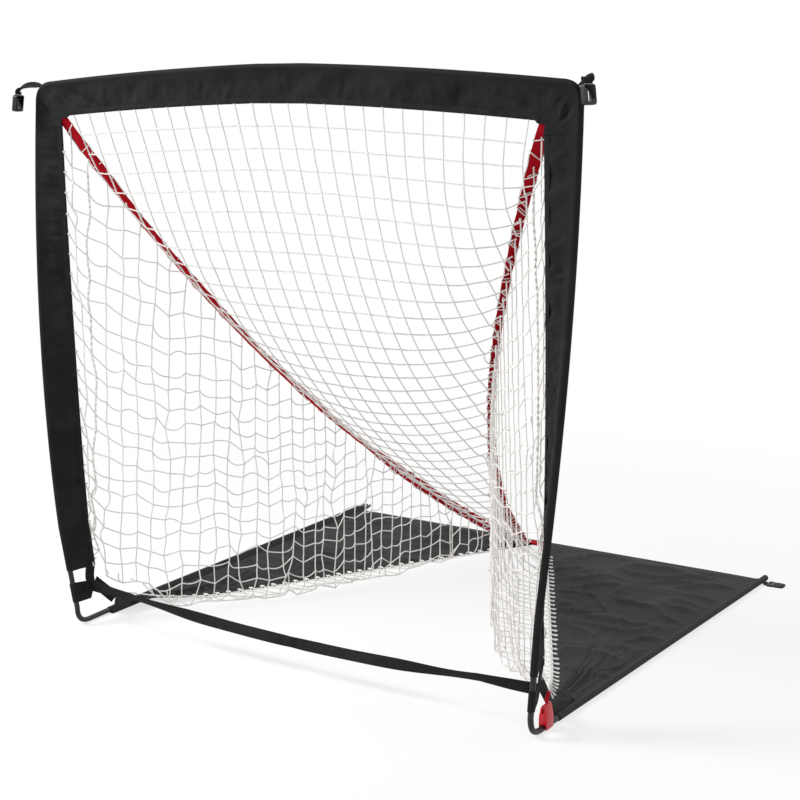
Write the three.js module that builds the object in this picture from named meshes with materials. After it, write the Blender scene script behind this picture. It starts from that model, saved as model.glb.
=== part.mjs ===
// A portable youth lacrosse goal: a bowed pole arch in cloth sleeves, plugged onto
// bent ground corners, with two cloth ground wings, three net panels, two ridge straps,
// a goal line strap, laced edges and side-release buckles.
// Millimetres, +X to the right seen from the shooter, +Y to the back, +Z up.
import * as THREE from 'three';

// Driving sizes of the frame
const groundHalf = 623;          // tube axis at a ground bend, from the middle
const poleTopHalf = 693;         // pole axis at a top corner, from the middle
const cornerHeight = 1286;       // pole axis at a top corner, measured up the leaning arch
const archRise = 37;             // how much higher the crossbar is in its middle
const crossbarBow = 5;           // bulge of each crossbar half
const uprightBow = 31;           // outward bow of an upright at half height
const archSway = 19;             // how far the flexible uprights lean to the left
const swayPower = 0.6;           // below one puts the most sway under half height
const leanBack = 20;             // how far the top leans back
const baseDepth = 1256;          // front arch to the rear edge of the wings
const baseRearHalf = 653;        // base pole axis at the rear, from the middle

// Tubes and poles
const tubeDiameter = 12.7;
const tubeWall = 1.2;
const poleDiameter = 9.5;
const bendReach = 40;            // from the corner point to where a ground bend ends
const elbowReach = 34;
const cornerLegHeight = 240;
const cornerLegDepth = 200;
const elbowLeg = 110;
const socketDepth = 90;
const ferruleLength = 120;
const ferruleWall = 1.2;
const poleEndGap = 2;            // between two pole ends inside a joint
const baseEndGap = 14;           // rear pole end to the wing's rear edge

// Cloth
const pocketBore = 6.9;          // corner radius of a pocket round the tube
const pocketOuter = 8;
const sleeveWidth = 80;
const sleeveFootWidth = 78;
const sleeveEdge = 2.6;
const sleeveBelly = 6;
const sleeveTwistDegrees = 78;   // turn of the sleeve's flat at its foot
const sleeveTaperShare = 0.5;    // share of an upright over which its sleeve widens
const pocketSeamDegrees = 60;    // where the pocket's round opens into the flat
const hemSeamDegrees = 50;
const sleeveFoot = 135;
const sleeveTaper = 26;
const mitreGap = 0.3;
const fanStep = 4;
const fanSteps = 5;
const wingFront = 112;
const wingThickness = 1.2;
const wingLift = 56;             // height of a wing's front flap above the ground
const wingLiftLength = 300;
const wingTuck = 22;
const wingShoulder = 13;
const wingShares = [0, 0.13, 0.26, 0.43, 0.63, 0.83, 1];

// Webbing and small parts
const seat = 0.3;                // gap between pieces that touch
const webbing = 25;
const webbingThickness = 1.5;
const ridgeWidth = 28;
const ridgeSagIn = 52;
const ridgeSagFront = 108;
const ridgeSagDown = 84;
const ridgeTab = 22;             // length of ridge strap sewn behind a top corner
const ridgeTabLift = 4;
const ridgeTabShares = [1, 0.15];
const ridgeTabLiftShare = 0.85;
const apexDepth = 1176;
const apexHalf = 17;
const apexSide = -45;            // the slack net pulls the apex to the left
const apexHeight = 19;
const tailDepth = 1219;
const tailReach = 72;
const tailCross = 1236;
const cuffHeight = 43;
const cuffFoot = 60;
const cuffWidth = 38;
const gussetRoot = 44;
const gussetShares = [0, 0.43, 0.68, 1];
const gussetWidths = [26, 24, 18, 4];
const tabRootHeight = 84;
const tabFootHeight = 44;
const tabWidth = 28;
const lineStrapEndHeight = 90;   // height of the goal line strap at the uprights
const lineStrapMiddleHeight = 71;
const lineStrapFront = 36;
const lineStrapFlat = 480;
const lineStrapTwistDegrees = 40;
const lineStrapJoint = 9;        // behind the cuff, where the strap meets the gusset
const lineStrapTurnPower = 8;

// Clip on the right ground tube
const clipFront = 50;
const clipLength = 31;
const clipHalf = 9;
const clipSlot = 13.5;
const clipInnerLeg = 1;
const clipOuterLeg = 3.5;
const clipShoulder = 22;
const clipTop = 48;
const clipTopHalf = 5;
const clipEye = 6;
const clipEyeLength = 11;
const clipEyeFoot = 31;
const clipStrapWidth = 8;
const clipStrapThickness = 2;
const clipStrapEndIn = 9;        // its upper end, inside the tube, behind the arch and up
const clipStrapEndDepth = 96;
const clipStrapEndHeight = 68;
const clipStrapBendShare = 0.2;
const clipStrapTurnShare = 0.4;

// Side-release buckles
const buckleWidth = 32;
const socketLength = 34;
const buckleThickness = 11;
const slotWidth = 26.5;
const slotHeight = 4;
const buckleBar = 3.5;
const plugThickness = 6;
const plugBody = 13;
const plugLength = 40;
const prongWidth = 5;
const prongTip = 4;
const topBuckleOut = 29;         // from a top corner out to its buckle's bar
const topBuckleDrops = { left: 23, right: 3 };
const topBuckleFronts = { left: 19, right: 8 };
const topStrapSeat = 1.95;       // from the poles' corner point to the strap's root
const topStrapArch = 13;         // how far a top strap arches up before it hangs
const topStrapDrop = 5;          // straight end of a top strap above its bar
const topStrapTwistShare = 0.5;
const socketTurnShare = 0.25;
const socketLeanDegrees = 8;
const swingClear = 0.8;          // between a top strap's end and its buckle, which swings
const rearStrapLength = 11;
const rearStrapRise = 5;         // height of the right rear strap at the hem's side
const rearStrapFallShare = 0.8;
const rearSkewShares = { left: -0.2, right: 0.025 };
const rearStrapInset = 32;       // right rear strap ahead of the wing's rear edge

// Nets
const cord = 3.6;
const netSeat = 0.6;             // gap between a net border and the sleeve that carries it
const ridgeStops = 36;
const sideMesh = 3;              // ridge stops per cord of a side net
const backRow = 2;
const backColumn = 6;
const netFoot = 150;             // height of a side net's front corner
const netCorner = 54;            // from the sleeves' inner corner to the nets' top corners
const netBorder = 12;            // from a wing's edge to the net's border
const netFrontDrop = 70;
const netHang = 90;              // how far a side net bellies inward
const backSag = 150;
const netBellyPower = 0.7;       // below one puts the belly low
const wideGapDegrees = 150;      // a knot is open on a side without a cord in this angle
const openTurnDegrees = 45;
const knotReachShare = 0.45;

// Lacing
const rope = 4;
const laceCount = 22;
const laceReach = 10;
const laceFront = 148;
const laceRear = 1130;
const laceLift = 1;
const laceWavePoints = 5;        // points per wave of the rope

const degree = Math.PI / 180;
const lean = Math.asin(leanBack / cornerHeight);
const up = new THREE.Vector3(0, Math.sin(lean), Math.cos(lean));
const back = new THREE.Vector3(0, Math.cos(lean), -Math.sin(lean));
const tubeRadius = tubeDiameter / 2;
const poleRadius = poleDiameter / 2;
const hemAxis = pocketOuter;
const bendTop = tubeRadius + bendReach;

const mix = (a, b, share) => a + (b - a) * share;
const point = (x, y, z) => new THREE.Vector3(x, y, z);
const bump = (share) => 4 * share * (1 - share);
const steps = (count) => Array.from({ length: count + 1 }, (_, i) => i / count);

const group = new THREE.Group();

const colours = {
  steel: [0x1b1b1c, 0.35, 0.8],
  pole: [0x202124, 0.5, 0],
  sleeve: [0x1c1c1e, 0.85, 0],
  wing: [0x2a2a2c, 0.8, 0],
  webbing: [0x161617, 0.9, 0],
  red: [0xb0152a, 0.8, 0],
  redPlastic: [0xc4122b, 0.4, 0],
  net: [0xeeeeea, 0.9, 0],
  plastic: [0x121213, 0.45, 0],
};

function add(name, geometry, colour) {
  const [color, roughness, metalness] = colours[colour];
  const mesh = new THREE.Mesh(geometry, new THREE.MeshStandardMaterial({ color, roughness, metalness }));
  mesh.name = name;
  group.add(mesh);
  return mesh;
}

// A closed body from loose triangles, turned so that its faces point out.
function solid(vertices, triangles) {
  let volume = 0;
  const cross = new THREE.Vector3();
  for (const [a, b, c] of triangles) {
    cross.crossVectors(vertices[b], vertices[c]);
    volume += vertices[a].dot(cross);
  }
  const faces = volume < 0 ? triangles.map(([a, b, c]) => [a, c, b]) : triangles;
  const geometry = new THREE.BufferGeometry();
  geometry.setAttribute('position', new THREE.Float32BufferAttribute(vertices.flatMap((v) => v.toArray()), 3));
  geometry.setIndex(faces.flat());
  return geometry;
}

// A section carried through stations. Each station maps a section point to space,
// and a section is an outline with an optional hole.
function loft(stations, sectionAt, placeAt) {
  const vertices = [];
  const triangles = [];
  const sections = stations.map((station) => sectionAt(station));
  const outlineCount = sections[0].outline.length;
  const holeCount = sections[0].hole ? sections[0].hole.length : 0;
  const ringCount = outlineCount + holeCount;
  stations.forEach((station, i) => {
    const all = [...sections[i].outline, ...(sections[i].hole ?? [])];
    all.forEach((p) => vertices.push(placeAt(station, p)));
  });
  const wall = (first, count) => {
    for (let i = 0; i + 1 < stations.length; i += 1) {
      for (let j = 0; j < count; j += 1) {
        const a = i * ringCount + first + j;
        const b = i * ringCount + first + ((j + 1) % count);
        const [c, d] = [a + ringCount, b + ringCount];
        const { outline, hole } = sections[i];
        const ringAt = first ? hole : outline;
        const forward = ringAt[j].x <= ringAt[(j + 1) % count].x;
        if (forward) triangles.push([a, b, d], [a, d, c]);
        else triangles.push([a, b, c], [b, d, c]);
      }
    }
  };
  wall(0, outlineCount);
  if (holeCount) wall(outlineCount, holeCount);
  [0, stations.length - 1].forEach((i) => {
    const { outline, hole } = sections[i];
    const cap = THREE.ShapeUtils.triangulateShape(outline, hole ? [hole] : []);
    cap.forEach(([a, b, c]) => {
      const face = [a, b, c].map((k) => k + i * ringCount);
      triangles.push(i === 0 ? face.reverse() : face);
    });
  });
  return solid(vertices, triangles);
}

// Counter-clockwise ring of corners; holes run the other way round.
function ring(radius, count, from = 0, turn = 1) {
  return Array.from({ length: count }, (_, i) => {
    const angle = from + (turn * 2 * Math.PI * i) / count;
    return new THREE.Vector2(radius * Math.cos(angle), radius * Math.sin(angle));
  });
}

// Frames along a line of points, with the side direction kept near a given one.
function frames(points, sideHint) {
  return points.map((p, i) => {
    const before = points[Math.max(i - 1, 0)];
    const after = points[Math.min(i + 1, points.length - 1)];
    const ahead = after.clone().sub(before).normalize();
    const hint = typeof sideHint === 'function' ? sideHint(i) : sideHint;
    const side = hint.clone().addScaledVector(ahead, -hint.dot(ahead)).normalize();
    return { p, ahead, side, normal: new THREE.Vector3().crossVectors(side, ahead).normalize() };
  });
}

const place = (f, q) => f.p.clone().addScaledVector(f.side, q.x).addScaledVector(f.normal, q.y);

function roundBar(points, sideHint, radius, sides, bore = 0, boreSides = sides) {
  const outline = ring(radius, sides);
  const hole = bore ? ring(bore, boreSides, 0, -1) : undefined;
  return loft(frames(points, sideHint), () => ({ outline, hole }), place);
}

function strap(points, sideHint, width, thickness) {
  const outline = [
    new THREE.Vector2(-width / 2, -thickness / 2), new THREE.Vector2(width / 2, -thickness / 2),
    new THREE.Vector2(width / 2, thickness / 2), new THREE.Vector2(-width / 2, thickness / 2),
  ];
  return loft(frames(points, sideHint), () => ({ outline }), place);
}

const uprightShare = (height) => (height - bendTop) / (cornerHeight - bendTop);
const legShare = uprightShare(cornerLegHeight);

// The line of an upright, from its ground bend to its top corner. The arch is springy,
// so both uprights sway to the left between their fixed ends; the steel legs stay straight.
function uprightAxis(side, share) {
  const across = (s) => side * (mix(groundHalf, poleTopHalf, s) + uprightBow * bump(s))
    - archSway * bump(s ** swayPower);
  const x = share < legShare ? mix(across(0), across(legShare), share / legShare) : across(share);
  return point(x, 0, 0).addScaledVector(up, mix(bendTop, cornerHeight, share));
}

// The line of the crossbar, from the middle (share 0) to a top corner (share 1).
function crossbarAxis(side, share) {
  const x = poleTopHalf * share;
  const flat = ferruleLength / 2 / poleTopHalf;
  const run = Math.max(share - flat, 0) / (1 - flat);
  const height = cornerHeight + archRise * (1 - run) + crossbarBow * bump(run);
  return point(side * x, 0, 0).addScaledVector(up, height);
}

// The line of a base pole; it rises a little behind the bend, where the hem runs under it.
function baseAxis(side, depth) {
  const rise = Math.min(Math.max((depth - bendReach) / (wingFront - bendReach), 0), 1);
  return point(side * mix(groundHalf, baseRearHalf, depth / baseDepth), depth, mix(tubeRadius, hemAxis, rise));
}

// A bend through three points as a round quadratic arc.
function bend(from, corner, to, count) {
  const curve = new THREE.QuadraticBezierCurve3(from, corner, to);
  return curve.getPoints(count);
}

const sides = { left: -1, right: 1 };
const shareRange = (from, to, count) => steps(count).map((s) => mix(from, to, s));

// Ground corner tubes, upright poles, top elbows, base poles and the crossbar.
const poleFootShare = uprightShare(cornerLegHeight - socketDepth);
const legShares = [0, 0.25, 0.5, 0.75, 1].map((s) => s * legShare);
const elbowShare = uprightShare(cornerHeight - elbowReach);
const elbowLegShare = uprightShare(cornerHeight - elbowLeg);
const elbowBarShare = 1 - elbowLeg / poleTopHalf;
const elbowBendShare = 1 - elbowReach / poleTopHalf;
const poleHeadShare = uprightShare(cornerHeight - elbowLeg + socketDepth / 2);
const barEndShare = elbowBarShare + socketDepth / 2 / poleTopHalf;

function groundCorner(side) {
  const foot = uprightAxis(side, 0);
  const knee = point(side * groundHalf, 0, tubeRadius);
  const heel = baseAxis(side, bendReach);
  const leg = legShares.map((s) => uprightAxis(side, s)).reverse();
  const turn = bend(foot, knee, heel, 7).slice(1);
  const run = [wingFront, cornerLegDepth].map((d) => baseAxis(side, d));
  return [...leg, ...turn, ...run];
}

function topElbow(side) {
  const corner = uprightAxis(side, 1);
  const leg = shareRange(elbowLegShare, elbowShare, 2).map((s) => uprightAxis(side, s));
  const bar = shareRange(elbowBendShare, elbowBarShare, 2).map((s) => crossbarAxis(side, s));
  return [...leg, ...bend(leg.at(-1), corner, bar[0], 6).slice(1), ...bar.slice(1)];
}

const across = new THREE.Vector3(1, 0, 0);
const tubeBore = tubeRadius - tubeWall;

for (const [name, side] of Object.entries(sides)) {
  add(`corner_tube_${name}`, roundBar(groundCorner(side), across, tubeRadius, 12, tubeBore, 10), 'steel');
  const uprightShares = [
    ...shareRange(poleFootShare, legShare, 2), ...shareRange(legShare, elbowLegShare, 9).slice(1),
    poleHeadShare,
  ];
  const upright = uprightShares.map((s) => uprightAxis(side, s));
  add(`upright_pole_${name}`, roundBar(upright, across, poleRadius, 8), 'pole');
  const base = [cornerLegDepth - socketDepth, cornerLegDepth, baseDepth - baseEndGap];
  base[0] = Math.max(base[0], wingFront);
  add(`base_pole_${name}`, roundBar(base.map((d) => baseAxis(side, d)), across, poleRadius, 8), 'pole');
  add(`top_elbow_${name}`, roundBar(topElbow(side), back, tubeRadius, 12, tubeBore, 10), 'steel');
  const barShares = [
    poleEndGap / 2 / poleTopHalf, ferruleLength / 2 / poleTopHalf,
    ...shareRange(ferruleLength / 2 / poleTopHalf, elbowBarShare, 6).slice(1), barEndShare,
  ];
  add(`crossbar_pole_${name}`, roundBar(barShares.map((s) => crossbarAxis(side, s)), up, poleRadius, 8), 'pole');
}
const ferruleHalf = ferruleLength / 2 - poleEndGap;
const ferruleShare = ferruleHalf / poleTopHalf;
add('crossbar_ferrule', roundBar(
  [crossbarAxis(-1, ferruleShare), crossbarAxis(1, ferruleShare)],
  up, tubeBore + ferruleWall, 12, tubeBore, 10,
), 'steel');

// A pocket for the pole with a flat double cloth that runs on to the net.
function sleeveSection(width, stretch = 1) {
  const outline = ring(pocketOuter, 9, pocketSeamDegrees * degree).slice(0, 7);
  outline.push(
    new THREE.Vector2(sleeveTaper, -sleeveBelly / 2), new THREE.Vector2(width, -sleeveEdge / 2),
    new THREE.Vector2(width, sleeveEdge / 2), new THREE.Vector2(sleeveTaper, sleeveBelly / 2),
  );
  const hole = ring(pocketBore, 12, 0, -1);
  [...outline.slice(0, 7), ...hole].forEach((p) => { p.x *= stretch; });
  return { outline, hole };
}

const sleeveFlat = sleeveWidth - pocketOuter;
const innerCorner = (side) => {
  const pole = uprightAxis(side, uprightShare(cornerHeight - sleeveFlat));
  return point(pole.x - side * sleeveFlat, pole.y, pole.z);
};
const footShare = uprightShare(sleeveFoot);
const twistTopShare = uprightShare(cornerHeight - sleeveFlat);

// The sleeve's flat turns towards the back as it comes down, drawn by the net.
function sleeveTwist(share) {
  const run = (twistTopShare - share) / (twistTopShare - footShare);
  return sleeveTwistDegrees * degree * Math.min(Math.max(run, 0), 1);
}
function inward(side, angle) {
  return point(-side * Math.cos(angle), 0, 0).addScaledVector(back, Math.sin(angle));
}
function crossSleeve(side, angle) {
  return point(side * Math.sin(angle), 0, 0).addScaledVector(back, Math.cos(angle));
}
function sleeveFlatAt(share) {
  return mix(sleeveFootWidth - pocketOuter, sleeveFlat, Math.min(share / sleeveTaperShare, 1));
}
function sleeveInnerEdge(side, share) {
  const angle = sleeveTwist(share);
  return uprightAxis(side, share).addScaledVector(inward(side, angle), sleeveFlatAt(share));
}

// Stations that fan round the inner corner, so that the cloth ends on the mitre.
function fan(side, poles, edgeStep, offset) {
  const corner = innerCorner(side);
  return poles.map((pole, i) => {
    const left = poles.length - 1 - i;
    const edge = corner.clone().addScaledVector(edgeStep, -fanStep * left);
    const flat = edge.clone().sub(pole);
    const width = flat.length();
    flat.normalize();
    const ahead = poles[Math.min(i + 1, left + i)].clone().sub(poles[Math.max(i - 1, 0)]).normalize();
    const stretch = 1 / Math.sqrt(1 - flat.dot(ahead) ** 2);
    return { p: pole.clone().add(offset), side: flat, normal: back, width, stretch };
  });
}

const mitrePoles = (side, fromUpright) => {
  const arc = topElbow(side).slice(2, 9);
  const half = Math.floor(arc.length / 2) + 1;
  return fromUpright ? arc.slice(0, half) : arc.slice(half - 1).reverse();
};

function mitreShift(side, sign) {
  const arc = topElbow(side).slice(2, 9);
  const middle = arc[Math.floor(arc.length / 2)];
  const run = innerCorner(side).sub(middle).normalize();
  const away = new THREE.Vector3().crossVectors(back, run).normalize();
  const towardsUpright = away.z < 0 ? away : away.negate();
  return towardsUpright.multiplyScalar((sign * mitreGap) / 2);
}

function uprightSleeve(side) {
  const innerShare = uprightShare(cornerHeight - sleeveFlat - fanStep * fanSteps);
  const straight = [footShare, ...shareRange(legShare, innerShare, 11)].map((share) => {
    const angle = sleeveTwist(share);
    return {
      p: uprightAxis(side, share), side: inward(side, angle), normal: crossSleeve(side, angle),
      width: sleeveFlatAt(share),
    };
  });
  const turning = fan(side, mitrePoles(side, true), up, mitreShift(side, 1));
  return loft([...straight, ...turning], (s) => sleeveSection(s.width, s.stretch), place);
}

function crossbarSleeve() {
  const down = up.clone().negate();
  const endShare = 1 - (sleeveFlat + fanStep * fanSteps) / poleTopHalf;
  const half = (side) => shareRange(ferruleLength / 2 / poleTopHalf, endShare, 5).map((share) => (
    { p: crossbarAxis(side, share), side: down, normal: back, width: sleeveFlat }));
  const turning = (side) => fan(side, mitrePoles(side, false), point(side, 0, 0), mitreShift(side, -1));
  const left = [...half(-1), ...turning(-1)].reverse();
  const right = [...half(1), ...turning(1)];
  return loft([...left, ...right], (s) => sleeveSection(s.width, s.stretch), place);
}

add('upright_sleeve_left', uprightSleeve(-1), 'sleeve');
add('upright_sleeve_right', uprightSleeve(1), 'sleeve');
add('crossbar_sleeve', crossbarSleeve(), 'sleeve');

// The cuff round the tube and the gusset that joins it to the sleeve's foot.
const footAngle = sleeveTwistDegrees * degree;
function footPlane(side, height) {
  const p = uprightAxis(side, uprightShare(height));
  return { p, side: inward(side, footAngle), normal: crossSleeve(side, footAngle) };
}
const cuffTop = cuffFoot + cuffHeight;

function cuff(side) {
  return loft([cuffFoot, cuffTop].map((h) => footPlane(side, h)), () => sleeveSection(cuffWidth), place);
}

// A flat band section from one distance to another, with its thickness.
const band = (from, to, thickness) => [
  new THREE.Vector2(from, -thickness / 2), new THREE.Vector2(to, -thickness / 2),
  new THREE.Vector2(to, thickness / 2), new THREE.Vector2(from, thickness / 2),
];

const gussetStations = gussetShares.map((share, i) => ({
  height: mix(sleeveFoot - seat, cuffFoot, share),
  from: i ? cuffWidth + seat : gussetRoot,
  width: gussetWidths[i],
}));

function gusset(side) {
  const stations = gussetStations.map((s) => ({ ...s, ...footPlane(side, s.height) }));
  return loft(stations, (s) => ({ outline: band(s.from, s.from + s.width, webbingThickness) }), place);
}

// How far the gusset's rear edge is from the tube at any height.
function gussetEdge(height) {
  const i = Math.max(gussetStations.findIndex((s) => s.height <= height), 1);
  const [a, b] = [gussetStations[i - 1], gussetStations[i]];
  const share = (a.height - height) / (a.height - b.height);
  return mix(a.from + a.width, b.from + b.width, share);
}

// A ground wing: a hem round the base pole and a flat cloth whose front flap lifts.
function edgeAtStation(depth) {
  const lift = Math.min(Math.max(1 - (depth - wingFront) / wingLiftLength, 0), 1) ** 2;
  const run = (depth - wingFront) / (baseDepth - wingFront);
  return { depth, x: mix(groundHalf, seat / 2, run) - wingTuck * lift, z: wingLift * lift };
}
const wingStations = [
  ...wingShares.map((share) => edgeAtStation(wingFront + share * wingLiftLength)),
  edgeAtStation((wingFront + wingLiftLength + baseDepth) / 2), edgeAtStation(baseDepth),
];

// The wing's inner edge at any depth, with the directions along and off the cloth.
function wingEdge(depth) {
  const passed = wingStations.filter((s) => s.depth <= depth).length;
  const i = Math.min(Math.max(passed - 1, 0), wingStations.length - 2);
  const [a, b] = [wingStations[i], wingStations[i + 1]];
  const share = Math.max((depth - a.depth) / (b.depth - a.depth), 0);
  const [x, z] = [mix(a.x, b.x, share), mix(a.z, b.z, share)];
  const shoulder = baseAxis(1, depth).x - wingShoulder;
  const along = new THREE.Vector2(shoulder - x, -z).normalize();
  return { depth, x, z, along, off: new THREE.Vector2(-along.y, along.x) };
}

// A point beside the wing's edge, so far onto the cloth and so far off it.
function byEdge(side, depth, onto, off) {
  const e = wingEdge(depth);
  return point(side * (e.x + e.along.x * onto + e.off.x * off), depth, e.z + e.along.y * onto + e.off.y * off);
}

function wing(side) {
  const placeAt = (s, q) => point(side * (baseAxis(1, s.depth).x - q.x), s.depth, hemAxis + q.y);
  const section = (s) => {
    const e = wingEdge(s.depth);
    const edge = new THREE.Vector2(baseAxis(1, s.depth).x - s.x, s.z - hemAxis);
    const off = new THREE.Vector2(-e.off.x, e.off.y).multiplyScalar(wingThickness);
    const shoulder = new THREE.Vector2(wingShoulder, -hemAxis);
    const outline = [
      ...ring(pocketOuter, 9, hemSeamDegrees * degree).slice(0, 6), new THREE.Vector2(0, -hemAxis), shoulder,
      edge, edge.clone().add(off), shoulder.clone().add(off),
    ];
    return { outline, hole: ring(pocketBore, 12, 0, -1) };
  };
  return loft(wingStations, section, placeAt);
}

// A short webbing from the gusset's rear edge down to the wing's front flap.
function wingTab(side) {
  const [low, high] = [tabRootHeight, tabRootHeight + tabWidth].map((height) => (
    place(footPlane(side, height), new THREE.Vector2(gussetEdge(height) + 2 * seat, 0))));
  const root = {
    p: low.clone().lerp(high, 0.5), normal: high.clone().sub(low).normalize(),
    side: crossSleeve(side, footAngle).multiplyScalar(side),
  };
  const edge = byEdge(side, wingFront, wingLift - tabFootHeight, wingThickness / 2);
  const foot = {
    p: point(edge.x, wingFront - seat, tabFootHeight), side: point(1, 0, 0), normal: point(0, 0, 1),
  };
  const outline = band(-webbingThickness / 2, webbingThickness / 2, tabWidth);
  return loft([root, foot], () => ({ outline }), place);
}

// The goal line strap across the mouth, sewn square to the gussets' inner faces.
function lineStrap() {
  const heightAt = (x) => {
    const run = Math.min((x / lineStrapFlat) ** 2, 1);
    return mix(lineStrapMiddleHeight, lineStrapEndHeight, run);
  };
  const legUp = (side) => uprightAxis(side, legShare).sub(uprightAxis(side, 0)).normalize();
  const joint = (side, clear) => {
    const off = new THREE.Vector3().crossVectors(legUp(side), inward(side, footAngle)).normalize();
    return place(footPlane(side, lineStrapEndHeight), new THREE.Vector2(cuffWidth + lineStrapJoint, 0))
      .addScaledVector(off, side * (webbingThickness / 2 + clear));
  };
  const half = (side) => {
    const [end, near] = [joint(side, seat), joint(side, webbing / 2)];
    const run = shareRange(0, 1, 14).map((share) => point(
      near.x * share, mix(lineStrapFront, near.y, share ** lineStrapTurnPower), heightAt(near.x * share),
    ));
    return [...run.slice(0, -1), near, end];
  };
  const points = [...half(-1).slice(1).reverse(), ...half(1)];
  const hint = (i) => {
    const side = Math.sign(points[i].x);
    const share = Math.min(Math.abs(points[i].x) / (groundHalf - webbing), 1);
    const turn = lineStrapTwistDegrees * degree * Math.sin(2 * Math.PI * share);
    return point(0, Math.sin(turn), Math.cos(turn)).lerp(legUp(side), share ** lineStrapTurnPower);
  };
  return strap(points, hint, webbing, webbingThickness);
}

// The two ridge straps from the top corners down to the apex, and their tails on the wings.
function ridgeLine(side, share) {
  const top = innerCorner(side).addScaledVector(back, ridgeTabLift);
  const apex = point(side * apexHalf + apexSide, apexDepth, apexHeight);
  const sag = point(-side * ridgeSagIn, -ridgeSagFront, -ridgeSagDown);
  return top.lerp(apex, share).addScaledVector(sag, bump(share));
}
const tailHeight = wingThickness + seat + webbingThickness / 2;
const tailOver = tailHeight + webbingThickness + 2 * seat;

function ridgeFrames(side) {
  const diagonal = point(side, 0, 0).add(up).normalize();
  const tab = ridgeTabShares.map((s) => innerCorner(side)
    .addScaledVector(diagonal, ridgeTab * s)
    .addScaledVector(back, ridgeTabLift * mix(ridgeTabLiftShare, 1, s)));
  const ridge = shareRange(1, ridgeStops, ridgeStops - 1).map((k) => ridgeLine(side, k / ridgeStops));
  const left = [
    point(-apexHalf * 0.8, apexDepth + apexHalf * 1.2, tailHeight * 3.4),
    point(-apexHalf * 0.2, tailDepth - apexHalf * 0.5, tailHeight * 1.15),
    point(apexHalf, tailDepth, tailHeight), point(tailReach / 2, tailDepth, tailHeight),
    point(tailReach, tailDepth, tailHeight),
  ];
  const right = [
    point(apexHalf, mix(apexDepth, tailDepth, 0.6), tailOver * 2),
    point(apexHalf, tailDepth - seat, tailOver), point(apexHalf, tailCross, tailOver),
  ];
  const tail = (side < 0 ? left : right).map((p) => p.setX(p.x + apexSide));
  const points = [...tab, ...ridge, ...tail];
  const sewn = point(-side, 0, 0).add(up);
  const hint = (i) => {
    if (i < tab.length) return sewn;
    if (side > 0 || i < tab.length + ridge.length) return point(-side, 0, 0);
    const ahead = points[Math.min(i + 1, points.length - 1)].clone().sub(points[i - 1]);
    return point(ahead.y, -ahead.x, 0);
  };
  return { list: frames(points, hint), first: tab.length };
}
const ridges = { left: ridgeFrames(-1), right: ridgeFrames(1) };

function ridgeStrap(side) {
  const outline = band(-ridgeWidth / 2, ridgeWidth / 2, webbingThickness);
  return loft((side < 0 ? ridges.left : ridges.right).list, () => ({ outline }), place);
}

// Where a net's border runs under a ridge strap: towards the middle for the back net.
function ridgeBorder(side, k, towardsMiddle) {
  const { list, first } = side < 0 ? ridges.left : ridges.right;
  const f = list[first + k - 1];
  const slack = k === 1 ? cord / 3 : 0;
  const inside = -side * (webbingThickness / 2 + seat + cord / 2 + slack);
  const across = Math.sign(-side * f.side.x) * towardsMiddle * (ridgeWidth / 4);
  return place(f, new THREE.Vector2(across, -inside));
}

// A net panel as one solid: square cords that meet in shared corners at every knot.
function lattice(nodes, links) {
  const half = cord / 2;
  const vertices = [];
  const triangles = [];
  const arms = nodes.map(() => []);
  links.forEach(([a, b]) => { arms[a].push({ to: b }); arms[b].push({ to: a }); });
  nodes.forEach((node, n) => {
    const normal = node.normal;
    const first = nodes[arms[n][0].to].p.clone().sub(node.p);
    const u = first.addScaledVector(normal, -first.dot(normal)).normalize();
    const v = new THREE.Vector3().crossVectors(normal, u);
    arms[n].forEach((arm) => {
      const ray = nodes[arm.to].p.clone().sub(node.p);
      arm.angle = Math.atan2(ray.dot(v), ray.dot(u));
      arm.length = ray.length();
    });
    arms[n].sort((a, b) => a.angle - b.angle);
    const shortest = Math.min(...arms[n].map((arm) => arm.length));
    const corners = [];
    arms[n].forEach((arm, i) => {
      const next = arms[n][(i + 1) % arms[n].length];
      const gap = next.angle - arm.angle + (i + 1 === arms[n].length ? 2 * Math.PI : 0);
      const wide = gap > wideGapDegrees * degree;
      const turn = openTurnDegrees * degree;
      const reach = Math.min(half / Math.sin(wide ? turn : gap / 2), knotReachShare * shortest);
      const angles = wide ? [arm.angle + turn, arm.angle + gap - turn] : [arm.angle + gap / 2];
      const made = angles.map((angle) => {
        const at = node.p.clone()
          .addScaledVector(u, reach * Math.cos(angle)).addScaledVector(v, reach * Math.sin(angle));
        vertices.push(at.clone().addScaledVector(normal, half), at.clone().addScaledVector(normal, -half));
        return vertices.length - 2;
      });
      corners.push(...made);
      arm.left = made[0];
      next.right = made.at(-1);
      if (wide) {
        const [a, b] = made;
        triangles.push([a + 1, b + 1, b], [a + 1, b, a]);
      }
    });
    for (let i = 1; i + 1 < corners.length; i += 1) {
      const [a, b, c] = [corners[0], corners[i], corners[i + 1]];
      triangles.push([a, b, c], [a + 1, c + 1, b + 1]);
    }
  });
  links.forEach(([from, to]) => {
    const out = arms[from].find((arm) => arm.to === to);
    const home = arms[to].find((arm) => arm.to === from);
    const [a, b, c, d] = [out.right, out.left, home.right, home.left];
    [[b, a, d, c], [b + 1, c + 1, d + 1, a + 1], [a + 1, d + 1, d, a], [c + 1, b + 1, b, c]]
      .forEach(([p, q, r, s]) => triangles.push([p, q, r], [p, r, s]));
  });
  return solid(vertices, triangles);
}

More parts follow.
